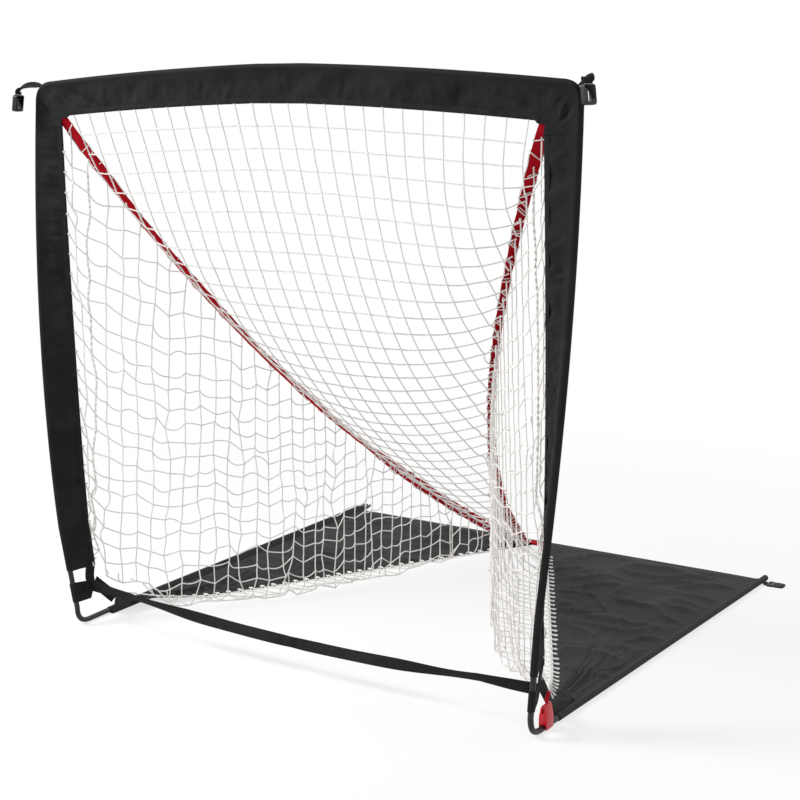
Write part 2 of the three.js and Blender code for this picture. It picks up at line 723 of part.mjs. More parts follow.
// Knots and cords of a three-cornered panel. Stops run along its ridge, and a stop can
// carry a column, which runs to the base border, and a row, which runs to the first column.
function panel(net, half) {
  const { key, at, isColumn, isRow, normalAt } = half;
  const knot = (i, j) => {
    const name = key(i, j);
    if (!net.index.has(name)) {
      net.index.set(name, net.nodes.length);
      net.nodes.push({ p: at(i, j), normal: normalAt(i, j) });
    }
    return net.index.get(name);
  };
  const chain = (list) => list.slice(1).forEach((b, i) => {
    const link = [knot(...list[i]), knot(...b)];
    const name = [...link].sort((x, y) => x - y).join();
    if (!net.links.has(name)) net.links.set(name, link);
  });
  const stops = Array.from({ length: ridgeStops + 1 }, (_, k) => k);
  const inner = stops.slice(1, -1);
  chain(stops.map((k) => [k, k]));
  chain([...inner, 0].sort((a, b) => a - b).map((k) => [k, ridgeStops]).concat([[ridgeStops, ridgeStops]]));
  [0, ...inner].filter((i) => i === 0 || isColumn(i)).forEach((i) => {
    const rows = inner.filter((j) => j > i && isRow(j));
    chain([[i, i], ...rows.map((j) => [i, j]), [i, ridgeStops]]);
  });
  inner.filter(isRow).forEach((j) => {
    const columns = [0, ...inner].filter((i) => i < j && (i === 0 || isColumn(i)));
    chain([...columns.map((i) => [i, j]), [j, j]]);
  });
}

const newNet = () => ({ nodes: [], index: new Map(), links: new Map() });
const finish = (net) => lattice(net.nodes, [...net.links.values()]);

// A side net, from the upright's sleeve to the apex, laced to the wing below.
function sideNet(side) {
  const sleeveBorder = (height) => {
    const share = uprightShare(height);
    const angle = sleeveTwist(share);
    const off = netSeat + (cord / 2) * (Math.cos(angle) + Math.sin(angle));
    return uprightAxis(side, share).addScaledVector(inward(side, angle), sleeveFlatAt(share) + off);
  };
  const topHeight = cornerHeight - sleeveFlat - netCorner;
  const foot = sleeveBorder(netFoot);
  const apex = ridgeBorder(side, ridgeStops, -1);
  const base = (k) => {
    const share = k / ridgeStops;
    const depth = mix(foot.y, apex.y, share);
    const edge = byEdge(side, depth, -netBorder, cord / 2 + netSeat);
    const drop = Math.max(1 - (depth - foot.y) / netFrontDrop, 0) ** 2;
    return edge.lerp(point(foot.x, depth, foot.z), drop);
  };
  const stop = (k) => (k === 0 ? sleeveBorder(topHeight) : ridgeBorder(side, k, -1));
  const at = (i, j) => {
    if (i === j) return i === ridgeStops ? apex : stop(i);
    if (j === ridgeStops) return i === 0 ? foot : base(i);
    const rise = stop(j).z / stop(i).z;
    if (i === 0) return sleeveBorder(mix(netFoot, topHeight, rise));
    const p = base(i).lerp(stop(i), rise);
    return p.setX(p.x - side * netHang * bump(i / ridgeStops) * bump(rise ** netBellyPower));
  };
  const net = newNet();
  panel(net, {
    key: (i, j) => `${i},${j}`,
    at,
    isColumn: (k) => k % sideMesh === 0,
    isRow: (k) => k % sideMesh === 0,
    normalAt: (i, j) => {
      if (j === ridgeStops && i !== j) {
        const { off: lift } = wingEdge(Math.max(at(i, j).y, wingFront));
        const flat = Math.min(Math.max((at(i, j).y - foot.y) / netFrontDrop, 0), 1);
        return point(side, 0, 0).lerp(point(side * lift.x, 0, lift.y), flat).normalize();
      }
      const ridge = i === j && i > 0;
      return ridge ? ridgeNormal(side, i) : point(side, 0, 0);
    },
  });
  return finish(net);
}

function ridgeNormal(side, k) {
  const { list, first } = side < 0 ? ridges.left : ridges.right;
  const { normal } = list[first + k - 1];
  return normal.z > 0 ? normal.clone() : normal.clone().negate();
}

// The back net, two halves that share the middle column, from the crossbar to the apex.
function backNet() {
  const net = newNet();
  const cornerShare = (innerCorner(1).x - netCorner) / poleTopHalf;
  const off = sleeveFlat + netSeat + cord / 2;
  for (const side of [-1, 1]) {
    const apex = ridgeBorder(side, ridgeStops, 1).addScaledVector(ridgeNormal(side, ridgeStops), -cord).setX(apexSide);
    const bar = (k) => crossbarAxis(side, (k / ridgeStops) * cornerShare).addScaledVector(up, -off);
    const stop = (k) => {
      if (k === 0) return apex.clone();
      return k === ridgeStops ? bar(k) : ridgeBorder(side, ridgeStops - k, 1);
    };
    const longest = bar(0).distanceTo(apex);
    const at = (i, j) => {
      if (i === j) return stop(i);
      if (j === ridgeStops) return bar(i);
      const [from, to] = [stop(i), bar(i)];
      const rise = (stop(j).z - from.z) / (to.z - from.z);
      const sag = backSag * bump(rise) * (from.distanceTo(to) / longest);
      const inside = point(0, -ridgeSagFront, -ridgeSagDown).normalize();
      return from.lerp(to, rise).addScaledVector(inside, sag);
    };
    panel(net, {
      key: (i, j) => (i === 0 ? `middle,${j}` : `${side},${i},${j}`),
      at,
      isColumn: (k) => k % backColumn === 0,
      isRow: (k) => k % backRow === 0,
      normalAt: (i, j) => {
        if (j === ridgeStops) return back;
        return i === j && i > 0 ? ridgeNormal(side, ridgeStops - i) : point(0, ridgeSagFront, ridgeSagDown).normalize();
      },
    });
  }
  return finish(net);
}

// The lacing rope, in waves over the net's border and the wing's edge.
function lacing(side) {
  const count = laceCount * laceWavePoints;
  const points = steps(count).map((share) => {
    const onto = mix(-(netBorder + rope / 2), laceReach, (1 + Math.cos(2 * Math.PI * laceCount * share)) / 2);
    const overNet = Math.min(Math.max(-onto / (netBorder - cord), 0), 1);
    const depth = mix(laceFront, laceRear, share);
    const slack = 2 * laceLift * Math.min(wingEdge(depth).z / rope, 1);
    const over = mix(wingThickness + slack, cord + netSeat + laceLift, overNet) + seat + rope / 2;
    return byEdge(side, depth, onto, over);
  });
  return roundBar(points, point(0, 0, 1), rope / 2, 4);
}

for (const [name, side] of Object.entries(sides)) {
  add(`cuff_${name}`, cuff(side), 'webbing');
  add(`gusset_${name}`, gusset(side), 'webbing');
  add(`wing_${name}`, wing(side), 'wing');
  add(`wing_tab_${name}`, wingTab(side), 'webbing');
  add(`ridge_strap_${name}`, ridgeStrap(side), 'red');
  add(`net_side_${name}`, sideNet(side), 'net');
  add(`lacing_${name}`, lacing(side), 'net');
}
add('line_strap', lineStrap(), 'webbing');
add('net_back', backNet(), 'net');

// A flat plate from an outline with holes, its middle plane at zero.
function plate(outline, holes, thickness) {
  const shape = new THREE.Shape(outline.map(([x, y]) => new THREE.Vector2(x, y)));
  shape.holes = holes.map((hole) => new THREE.Path(hole.map(([x, y]) => new THREE.Vector2(x, y))));
  const geometry = new THREE.ExtrudeGeometry(shape, { depth: thickness, bevelEnabled: false });
  return geometry.translate(0, 0, -thickness / 2);
}
const rectangle = (halfWidth, from, to) => [
  [-halfWidth, from], [halfWidth, from], [halfWidth, to], [-halfWidth, to],
];
const mirrored = (half) => [...half, ...half.map(([x, y]) => [-x, y]).reverse()];

// Turns a piece so that its width and length run in the given directions.
function turnTo(mesh, p, width, length) {
  const w = width.clone().addScaledVector(length, -width.dot(length)).normalize();
  const normal = new THREE.Vector3().crossVectors(w, length);
  mesh.quaternion.setFromRotationMatrix(new THREE.Matrix4().makeBasis(w, length, normal));
  mesh.position.copy(p);
}

// The red clip straddles the right ground tube; its strap goes up to the lacing's end.
const clipMiddle = clipFront + clipLength / 2;
const clipAxis = baseAxis(1, clipMiddle);
const clipAhead = baseAxis(1, clipFront + clipLength).sub(baseAxis(1, clipFront)).normalize();
const clipUp = point(0, 0, 1).addScaledVector(clipAhead, -clipAhead.z).normalize();
const slotTop = tubeRadius + seat;
const clipOutline = [
  [-clipHalf, -clipInnerLeg], [-clipSlot / 2, -clipInnerLeg], [-clipSlot / 2, slotTop - clipInnerLeg],
  [-clipSlot / 3, slotTop], [clipSlot / 3, slotTop], [clipSlot / 2, slotTop - clipInnerLeg],
  [clipSlot / 2, -clipOuterLeg], [clipHalf, -clipOuterLeg], [clipHalf, clipShoulder],
  [clipTopHalf, clipTop - clipTopHalf], [clipTopHalf / 2, clipTop], [-clipTopHalf / 2, clipTop],
  [-clipTopHalf, clipTop - clipTopHalf], [-clipHalf, clipShoulder],
];
const clip = add('net_clip', plate(
  clipOutline, [rectangle(clipEye / 3, clipEyeFoot, clipEyeFoot + clipEyeLength)], clipLength,
), 'redPlastic');
turnTo(clip, clipAxis, across, clipUp);
const clipHead = clipAxis.clone().addScaledVector(clipUp, clipTop + clipStrapWidth / 4 + 2 * seat);
const clipStrapEnd = point(groundHalf - clipStrapEndIn, clipStrapEndDepth, clipStrapEndHeight);
const clipBend = clipHead.clone().lerp(clipStrapEnd, clipStrapBendShare)
  .setZ(clipHead.z + clipStrapWidth / 2);
add('clip_strap', strap(
  [clipHead, clipBend, clipStrapEnd],
  point(clipStrapTurnShare, 1, 0), clipStrapWidth, clipStrapThickness,
), 'red');

// Buckle sockets hang from twisted straps at the top corners.
const socketOutline = mirrored([
  [0, buckleBar], [buckleWidth / 2 - buckleBar, buckleBar], [buckleWidth / 2, 0],
  [buckleWidth / 2, buckleBar - socketLength], [buckleWidth / 2 - buckleBar, -socketLength], [0, -socketLength],
].slice(1, -1).reverse());
const socketHoles = [
  rectangle(slotWidth / 2, -slotHeight, 0),
  rectangle(slotWidth / 4, -socketLength + 2 * buckleBar, -slotHeight - buckleBar),
];
const plugHalf = slotWidth / 2;
const plugOutline = mirrored([
  [prongWidth / 2, plugLength], [prongWidth / 2, plugBody], [plugHalf - prongWidth - prongTip, plugBody],
  [plugHalf - prongWidth, plugBody + prongTip], [plugHalf - prongWidth, plugLength - prongTip],
  [plugHalf - prongTip, plugLength], [plugHalf, plugLength - prongTip], [plugHalf + prongTip / 2, plugLength / 2],
  [plugHalf, plugBody], [buckleWidth / 2, plugBody - buckleBar], [buckleWidth / 2, -buckleBar],
].reverse());
const plugHoles = [rectangle(slotWidth / 2 - buckleBar, 0, slotHeight)];

const socketLean = socketLeanDegrees * degree;
for (const [name, side] of Object.entries(sides)) {
  const bar = point(
    side * (poleTopHalf + topBuckleOut), -topBuckleFronts[name], cornerHeight - topBuckleDrops[name],
  );
  const root = point(side * (poleTopHalf - topStrapSeat), leanBack, cornerHeight - topStrapSeat);
  const width = point(side * socketTurnShare, 1, 0).normalize();
  const socket = add(`top_buckle_${name}`, plate(socketOutline, socketHoles, buckleThickness), 'plastic');
  const lean = point(-side, socketTurnShare, 0).setLength(Math.sin(socketLean));
  turnTo(socket, bar, width, lean.setZ(Math.cos(socketLean)));
  const end = bar.clone().setZ(bar.z + (buckleBar + swingClear) / Math.cos(socketLean));
  const drop = end.clone().setZ(end.z + topStrapDrop);
  const rise = point(side, 0, 1).multiplyScalar(topStrapArch);
  const curve = new THREE.CubicBezierCurve3(
    root, root.clone().add(rise), drop.clone().setZ(drop.z + topStrapArch), drop,
  );
  const points = [...curve.getPoints(8), end];
  const hint = (i) => {
    const share = i / (points.length - 1);
    return point(side * socketTurnShare * share, 1, topStrapTwistShare * bump(share));
  };
  add(`top_strap_${name}`, strap(points, hint, webbing, webbingThickness), 'webbing');
}

// Buckle plugs on short straps at the rear corners of the wings.
const rearAhead = {
  left: point(rearSkewShares.left, 1, 0).normalize(),
  right: point(1, rearSkewShares.right, 0).normalize(),
};
const strapTop = 1.5 * webbingThickness;
const hemGroundHalf = Math.sqrt(pocketOuter ** 2 - (hemAxis - strapTop) ** 2);
const rearClear = seat + hemGroundHalf * Math.abs(rearAhead.left.x / rearAhead.left.y);
const rearRoots = {
  left: point(-baseRearHalf, baseDepth + rearClear, webbingThickness),
  right: point(baseRearHalf + pocketOuter, baseDepth - rearStrapInset, rearStrapRise),
};
for (const name of Object.keys(sides)) {
  const [root, ahead] = [rearRoots[name], rearAhead[name]];
  const width = point(ahead.y, -ahead.x, 0);
  const far = root.clone().addScaledVector(ahead, rearStrapLength).setZ(webbingThickness);
  const middle = root.clone().lerp(far, 0.5).setZ(mix(root.z, far.z, rearStrapFallShare));
  add(`rear_strap_${name}`, strap([root, middle, far], width, webbing, webbingThickness), 'webbing');
  const plug = add(`rear_buckle_${name}`, plate(plugOutline, plugHoles, plugThickness), 'plastic');
  const at = far.clone().addScaledVector(ahead, buckleBar + seat).setZ(plugThickness / 2);
  turnTo(plug, at, width, ahead);
}

// The origin is on the ground in the middle of the goal's length.
group.updateMatrixWorld(true);
const reach = new THREE.Box3().setFromObject(group);
group.position.y = -(reach.min.y + reach.max.y) / 2;
export default group;
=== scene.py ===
# %% [markdown]
# # A portable lacrosse goal
# This lesson dresses a finished frame in cloth, webbing, net and rope. The frame comes
# first and stays where it is, because every soft piece is shaped round it. The goal
# itself is a bowed pole arch plugged onto two bent ground tubes. Black cloth sleeves
# cover the arch, two cloth wings lie on the ground, and a white net hangs between them.

import math

import bmesh
import bpy
import numpy as np
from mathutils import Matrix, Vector


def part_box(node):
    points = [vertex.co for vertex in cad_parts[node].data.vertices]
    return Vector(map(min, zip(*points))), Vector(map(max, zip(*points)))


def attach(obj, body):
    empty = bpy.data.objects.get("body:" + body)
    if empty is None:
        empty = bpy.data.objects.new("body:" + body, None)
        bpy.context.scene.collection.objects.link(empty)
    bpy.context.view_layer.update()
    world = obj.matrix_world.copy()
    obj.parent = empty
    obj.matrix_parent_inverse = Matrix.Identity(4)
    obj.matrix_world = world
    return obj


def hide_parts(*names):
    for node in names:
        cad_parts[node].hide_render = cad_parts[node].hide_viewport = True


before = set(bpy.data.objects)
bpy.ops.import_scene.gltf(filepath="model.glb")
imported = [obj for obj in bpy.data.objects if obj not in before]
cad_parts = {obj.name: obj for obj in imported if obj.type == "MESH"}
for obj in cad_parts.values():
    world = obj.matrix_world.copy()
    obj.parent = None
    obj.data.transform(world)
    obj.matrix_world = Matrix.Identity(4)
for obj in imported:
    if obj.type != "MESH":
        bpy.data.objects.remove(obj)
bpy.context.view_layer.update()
scene = bpy.context.scene

# %% [markdown]
# ## The camera
# The camera stands to the right of the goal at about head height and looks a little
# down into the net. Its lens and place were worked out from the picture: the four
# corners of the arch and the corners of the wings only line up from one spot.

# %% Set up the camera
camera_data = bpy.data.cameras.new("camera")
camera = bpy.data.objects.new("camera", camera_data)
scene.collection.objects.link(camera)
scene.camera = camera
camera_data.sensor_width = 36
camera_data.lens = 69.84
camera.location = (1.9972, -3.2251, 1.2698)
camera.rotation_euler = (math.radians(78.828), 0, math.radians(33.082))
print("camera at", tuple(round(v, 3) for v in camera.location))

# %% [markdown]
# ## The goal's lines
# A few short formulas give the lines that the cloth follows. The uprights bow outwards
# and the crossbar rises to a shallow point, because both are springy poles. A share
# runs from 0 to 1 along each line, and arrays of shares give arrays of points.

# %% Lines of the arch
ARCH_Y = -0.638648
GROUND_HALF = 0.623
TOP_HALF = 0.693
CORNER_HEIGHT = 1.286
ARCH_RISE = 0.037
BAR_BOW = 0.005
UPRIGHT_BOW = 0.031
SWAY = 0.019
SWAY_POWER = 0.6
LEG_HEIGHT = 0.240
ELBOW_REACH = 0.034
FERRULE_HALF = 0.060
SLEEVE_FLAT = 0.072
FOOT_FLAT = 0.070
FOOT_HEIGHT = 0.135
FOOT_TURN = math.radians(78)
BASE_DEPTH = 1.256
BASE_REAR_HALF = 0.653
LEAN_BACK = 0.020
LEAN = math.asin(LEAN_BACK / CORNER_HEIGHT)
UP = np.array([0, math.sin(LEAN), math.cos(LEAN)])
BACK = np.array([0, math.cos(LEAN), -math.sin(LEAN)])
BEND_TOP = 0.04635
BEND_END = 0.040
TUBE_RADIUS = 0.00635
HEM_HEIGHT = 0.008
WING_FRONT = 0.112
SIDES = {"left": -1, "right": 1}


def bump(share):
    return 4 * share * (1 - share)


def mix(a, b, share):
    return a + (b - a) * share


def smooth(value):
    """A soft step from 0 to 1."""
    value = np.clip(value, 0, 1)
    return value * value * (3 - 2 * value)


def vec(x, y, z):
    return np.stack(np.broadcast_arrays(x, y, z), -1).astype(float)


def unit(v):
    return v / np.maximum(np.linalg.norm(v, axis=-1, keepdims=True), 1e-12)


def upright_share(height):
    return (np.asarray(height, float) - BEND_TOP) / (CORNER_HEIGHT - BEND_TOP)


LEG_SHARE = float(upright_share(LEG_HEIGHT))


def bowed(side, share):
    """How far right a springy upright is at a share of its length."""
    reach = mix(GROUND_HALF, TOP_HALF, share) + UPRIGHT_BOW * bump(share)
    return side * reach - SWAY * bump(share**SWAY_POWER)


def upright_axis(side, share):
    share = np.asarray(share, float)
    leg = mix(bowed(side, 0.0), bowed(side, LEG_SHARE), share / LEG_SHARE)
    across = np.where(share < LEG_SHARE, leg, bowed(side, np.maximum(share, 0)))
    height = mix(BEND_TOP, CORNER_HEIGHT, share)
    return vec(across, ARCH_Y, 0) + height[..., None] * UP


def crossbar_axis(side, share):
    share = np.asarray(share, float)
    flat = FERRULE_HALF / TOP_HALF
    run = np.maximum(share - flat, 0) / (1 - flat)
    height = CORNER_HEIGHT + ARCH_RISE * (1 - run) + BAR_BOW * bump(run)
    return vec(side * TOP_HALF * share, ARCH_Y, 0) + height[..., None] * UP


def base_axis(side, depth):
    depth = np.asarray(depth, float)
    rise = np.clip((depth - BEND_END) / 0.072, 0, 1)
    reach = mix(GROUND_HALF, BASE_REAR_HALF, depth / BASE_DEPTH)
    return vec(side * reach, ARCH_Y + depth, mix(TUBE_RADIUS, HEM_HEIGHT, rise))


def sleeve_twist(share):
    top, foot = upright_share(CORNER_HEIGHT - SLEEVE_FLAT), upright_share(FOOT_HEIGHT)
    return FOOT_TURN * np.clip((top - np.asarray(share, float)) / (top - foot), 0, 1)


def inward(side, angle):
    angle = np.asarray(angle, float)
    return vec(-side * np.cos(angle), 0, 0) + np.sin(angle)[..., None] * BACK


def across_sleeve(side, angle):
    angle = np.asarray(angle, float)
    return vec(side * np.sin(angle), 0, 0) + np.cos(angle)[..., None] * BACK


def sleeve_flat(share):
    return mix(FOOT_FLAT, SLEEVE_FLAT, np.minimum(np.asarray(share, float) / 0.5, 1))


def inner_corner(side):
    pole = upright_axis(side, upright_share(CORNER_HEIGHT - SLEEVE_FLAT))
    return pole - vec(side * SLEEVE_FLAT, 0, 0)


print("opening", round(2 * inner_corner(1)[0], 3), "m wide at the top")

# %% [markdown]
# The wing's inner edge runs straight back from the tube to the middle, and its front
# flap is held up by a short webbing. The ridge is the line of each red strap. It hangs
# in a curve from a top corner down to the apex, drawn in by the weight of the net.

# %% Lines of the wings and the ridges
APEX_SIDE = -0.045
APEX_HALF = 0.017
APEX_DEPTH = 1.176
APEX_HEIGHT = 0.019
RIDGE_SAG = (0.052, 0.108, 0.084)
FLAP_RUN, FLAP_IN, FLAP_LIFT = 0.300, 0.022, 0.056
WING_RUN, WING_GAP = 1.144, 0.00015
HEM_SHOULDER = 0.013


def wing_edge(depth):
    """How far out and how high the wing's inner edge is at a depth behind the arch."""
    depth = np.asarray(depth, float)
    lift = np.clip(1 - (depth - WING_FRONT) / FLAP_RUN, 0, 1) ** 2
    reach = mix(GROUND_HALF, WING_GAP, (depth - WING_FRONT) / WING_RUN) - FLAP_IN * lift
    return reach, FLAP_LIFT * lift


def by_edge(side, depth, onto, off):
    """A point so far onto the wing's cloth from its inner edge, and so far off it."""
    reach, height = wing_edge(depth)
    shoulder = base_axis(1, depth)[..., 0] - HEM_SHOULDER
    run = np.hypot(shoulder - reach, height)
    ax, az = (shoulder - reach) / run, -height / run
    x = reach + ax * onto - az * off
    return vec(side * x, ARCH_Y + np.asarray(depth, float), height + az * onto + ax * off)


def ridge_line(side, share):
    share = np.asarray(share, float)
    top = inner_corner(side) + 0.004 * BACK
    apex = np.array([side * APEX_HALF + APEX_SIDE, ARCH_Y + APEX_DEPTH, APEX_HEIGHT])
    sag = np.array([-side * RIDGE_SAG[0], -RIDGE_SAG[1], -RIDGE_SAG[2]])
    return top + share[..., None] * (apex - top) + bump(share)[..., None] * sag


def run_along(path):
    """Metres run along a line of points, at each of its points."""
    return np.concatenate([[0], np.cumsum(np.linalg.norm(np.diff(path, axis=0), axis=1))])


def run_length(path):
    return float(np.linalg.norm(np.diff(path, axis=0), axis=1).sum())


def values_at(at, run, values):
    """Rows of values, read at other runs along the line."""
    return np.stack([np.interp(at, run, values[:, k]) for k in range(values.shape[1])], -1)


print("ridge strap", round(run_length(ridge_line(1, np.linspace(0, 1, 60))), 3), "m long")

# %% [markdown]
# ## Mesh helpers
# Every soft piece here is a grid of points: rows along the piece and columns across it.
# One helper turns a grid into a closed thin shell, so a cloth has two faces and a rim.
# The UV map holds real metres along and across the cloth, which keeps every weave and
# every thread at its true size whatever the piece.

# %% Meshes from grids of points


def make_mesh(name, points, faces, uv=None, sharp=40):
    """A smooth shaded mesh object with its faces turned outwards."""
    points = np.asarray(points, float).reshape(-1, 3)
    tris = [(f[0], f[i], f[i + 1]) for f in faces for i in range(1, len(f) - 1)]
    a, b, c = (points[[t[k] for t in tris]] for k in range(3))
    if float(np.einsum("ij,ij->i", a, np.cross(b, c)).sum()) < 0:
        faces = [tuple(reversed(f)) for f in faces]
    mesh = bpy.data.meshes.new(name)
    mesh.from_pydata(points.tolist(), [], [tuple(int(i) for i in f) for f in faces])
    if uv is not None:
        layer = mesh.uv_layers.new(name="UVMap")
        corner = np.zeros(len(mesh.loops), np.int32)
        mesh.loops.foreach_get("vertex_index", corner)
        flat_uv = np.asarray(uv, np.float32).reshape(-1, 2)[corner]
        layer.data.foreach_set("uv", flat_uv.ravel())
    mesh.shade_smooth()
    mesh.set_sharp_from_angle(angle=math.radians(sharp))
    obj = bpy.data.objects.new(name, mesh)
    scene.collection.objects.link(obj)
    return obj


def grid_faces(rows, columns, start=0, wrap=False, flip=False):
    faces = []
    for i in range(rows - 1):
        for j in range(columns if wrap else columns - 1):
            k = (j + 1) % columns
            quad = (
                start + i * columns + j,
                start + i * columns + k,
                start + (i + 1) * columns + k,
                start + (i + 1) * columns + j,
            )
            faces.append(tuple(reversed(quad)) if flip else quad)
    return faces


def grid_normals(grid):
    along = np.gradient(grid, axis=0)
    side = np.gradient(grid, axis=1)
    return unit(np.cross(along, side))


def grid_lengths(grid):
    """Metres along and across a grid of points, for its UV map."""
    middle = grid[:, grid.shape[1] // 2]
    along = run_along(middle)
    step = np.linalg.norm(np.diff(grid, axis=1), axis=2)
    side = np.concatenate([np.zeros((len(grid), 1)), np.cumsum(step, axis=1)], axis=1)
    return np.stack([side, np.repeat(along[:, None], grid.shape[1], 1)], -1)


def two_skins(name, one, two, faces, uv, sharp=40):
    """A mesh of two equal grids that share one UV map."""
    points = np.concatenate([one.reshape(-1, 3), two.reshape(-1, 3)])
    return make_mesh(name, points, faces, np.concatenate([uv, uv]), sharp)


def shell(name, grid, thickness, extra=0.0):
    """A closed cloth of the given thickness round a grid. extra thickens its first face."""
    rows, columns = grid.shape[:2]
    normal = grid_normals(grid)
    extra = np.broadcast_to(extra, (rows, columns))[..., None]
    one = grid + normal * (thickness / 2 + extra)
    two = grid - normal * thickness / 2
    count = rows * columns
    faces = grid_faces(rows, columns) + grid_faces(rows, columns, count, flip=True)
    rim = [(i, 0) for i in range(rows)]
    rim += [(rows - 1, j) for j in range(1, columns)]
    rim += [(i, columns - 1) for i in range(rows - 2, -1, -1)]
    rim += [(0, j) for j in range(columns - 2, 0, -1)]
    for (i, j), (k, m) in zip(rim, rim[1:] + rim[:1], strict=True):
        a, b = i * columns + j, k * columns + m
        faces.append((a, b, b + count, a + count))
    return two_skins(name, one, two, faces, grid_lengths(grid))


def smooth_path(points, count):
    """A smooth line through the points, evenly spaced."""
    p = np.asarray(points, float)
    ends = np.vstack([2 * p[0] - p[1], p, 2 * p[-1] - p[-2]])
    fine = []
    for i in range(1, len(ends) - 2):
        t = np.linspace(0, 1, 24, endpoint=False)[:, None]
        a, b, c, d = ends[i - 1 : i + 3]
        cubic = 2 * b + (c - a) * t + (2 * a - 5 * b + 4 * c - d) * t**2 + (3 * b - a - 3 * c + d) * t**3
        fine.append(0.5 * cubic)
    fine = np.vstack([*fine, p[-1:]])
    run = run_along(fine)
    return values_at(np.linspace(0, run[-1], count), run, fine)


def ribbon(name, path, widths, width, thickness, cup=0.0, curl=0.0):
    """A strap along a path. widths are the directions across it. cup bows it a little,
    and curl is the angle that it is rolled through, from edge to edge."""
    path = np.asarray(path, float)
    ahead = unit(np.gradient(path, axis=0))
    widths = np.broadcast_to(widths, path.shape)
    across = unit(widths - (widths * ahead).sum(1, keepdims=True) * ahead)
    normal = np.cross(across, ahead)
    width = np.broadcast_to(width, (len(path),))[:, None]
    angle = np.maximum(np.broadcast_to(curl, (len(path),))[:, None], 0.02)
    v = np.linspace(-0.5, 0.5, 13)[None, :]
    reach = width / angle * np.sin(v * angle)
    lift = width / angle * (np.cos(angle / 2) - np.cos(v * angle)) + cup * (4 * v**2 - 0.5)
    grid = path[:, None] + across[:, None] * reach[..., None] + normal[:, None] * lift[..., None]
    return shell(name, grid, thickness)


def wrap_lines(points, seed, scale):
    """Smooth random waves over a grid of points, between about -1 and 1."""
    rng = np.random.default_rng(seed)
    total = np.zeros(points.shape[:-1])
    for _ in range(7):
        direction = unit(rng.normal(size=points.shape[-1]))
        wavelength = scale * rng.uniform(0.6, 1.6)
        phase = rng.uniform(0, 6.28)
        total += np.sin(points @ direction * 2 * math.pi / wavelength + phase)
    usual_peak = 3.2
    return total / usual_peak


print("mesh helpers ready")

# %% [markdown]
# ## The studio
# The goal stands on a plain white floor under large soft lamps, as in a catalogue. The
# camera and every reflection see a white room, while the light that falls on the goal
# stays at a plain level. Near the goal a part of the floor's own shading is mixed in, so
# that the goal keeps its shadow.

# %% Floor, world and lamps
scene.view_settings.view_transform = "Standard"
world = bpy.data.worlds.new("studio")
scene.world = world
world.use_nodes = True
WHITE = (1, 1, 1, 1)
FLOOR_HALF, FLOOR_THICK = 12, 0.1
LIGHT_LEVEL, SEEN_LEVEL = 0.45, 1.0


def add_node(tree, kind, sockets=None, **settings):
    """A node with its settings, and with a link or a value in each socket that is named."""
    node = tree.nodes.new(kind)
    for title, value in settings.items():
        setattr(node, title, value)
    for socket, value in (sockets or {}).items():
        if hasattr(value, "is_output"):
            tree.links.new(value, node.inputs[socket])
        else:
            node.inputs[socket].default_value = value
    return node


def seen_directly(tree):
    """A mask that is 1 where the camera, a reflection or a clear part sees the surface."""
    path = add_node(tree, "ShaderNodeLightPath").outputs
    total = path["Is Camera Ray"]
    for other in ("Is Glossy Ray", "Is Transmission Ray"):
        pair = {0: total, 1: path[other]}
        total = add_node(tree, "ShaderNodeMath", pair, operation="MAXIMUM").outputs[0]
    return total


def mix_shaders(tree, factor, one, two):
    return add_node(tree, "ShaderNodeMixShader", {0: factor, 1: one, 2: two}).outputs[0]


tree = world.node_tree
tree.nodes.clear()
light, seen = (
    add_node(tree, "ShaderNodeBackground", {"Color": WHITE, "Strength": level}).outputs[0]
    for level in (LIGHT_LEVEL, SEEN_LEVEL)
)
add_node(tree, "ShaderNodeOutputWorld", {"Surface": mix_shaders(tree, seen_directly(tree), light, seen)})

floor_material = bpy.data.materials.new("white_floor")
floor_material.use_nodes = True
tree = floor_material.node_tree
tree.nodes.clear()
seen = add_node(tree, "ShaderNodeEmission", {"Color": WHITE}).outputs[0]
matte = add_node(tree, "ShaderNodeBsdfDiffuse", {"Color": (0.8, 0.8, 0.8, 1)}).outputs[0]
place = add_node(tree, "ShaderNodeTexCoord").outputs["Object"]
away = add_node(tree, "ShaderNodeVectorMath", {0: place}, operation="LENGTH").outputs["Value"]
fade = {"Value": away, "From Min": 0.9, "From Max": 2.2, "To Min": 0.30, "To Max": 0.0}
near = add_node(tree, "ShaderNodeMapRange", fade).outputs["Result"]
shown = mix_shaders(tree, seen_directly(tree), matte, mix_shaders(tree, near, seen, matte))
add_node(tree, "ShaderNodeOutputMaterial", {"Surface": shown})

corners = [(x * FLOOR_HALF, y * FLOOR_HALF) for x, y in ((-1, -1), (1, -1), (1, 1), (-1, 1))]
floor = make_mesh(
    "floor",
    [(x, y, z) for z in (0, -FLOOR_THICK) for x, y in corners],
    [(0, 1, 2, 3), (7, 6, 5, 4), (0, 4, 5, 1), (1, 5, 6, 2), (2, 6, 7, 3), (3, 7, 4, 0)],
)
floor.data.materials.append(floor_material)


def lamp(name, place, target, size, power):
    data = bpy.data.lights.new(name, "AREA")
    data.size = size
    data.energy = power
    obj = bpy.data.objects.new(name, data)
    scene.collection.objects.link(obj)
    obj.location = place
    aim = np.array(target, float) - np.array(place, float)
    obj.rotation_euler = Vector(aim).to_track_quat("-Z", "Y").to_euler()


lamp("key_lamp", (-2.6, -2.4, 3.6), (0, 0, 0.4), 1.4, 215)
lamp("fill_lamp", (3.4, -2.6, 2.4), (0.2, 0, 0.5), 2.0, 40)
lamp("back_lamp", (1.2, 3.6, 3.2), (0, 0, 0.6), 2.2, 40)
print("studio ready")

# %% [markdown]
# ## Shader groups
# Four kinds of surface repeat over the goal: woven cloth, webbing, twisted cord and
# moulded plastic. Each is one node group with named inputs, so every material that
# uses it shares the same weave and only changes its colours and sizes.

# %% Node group helpers


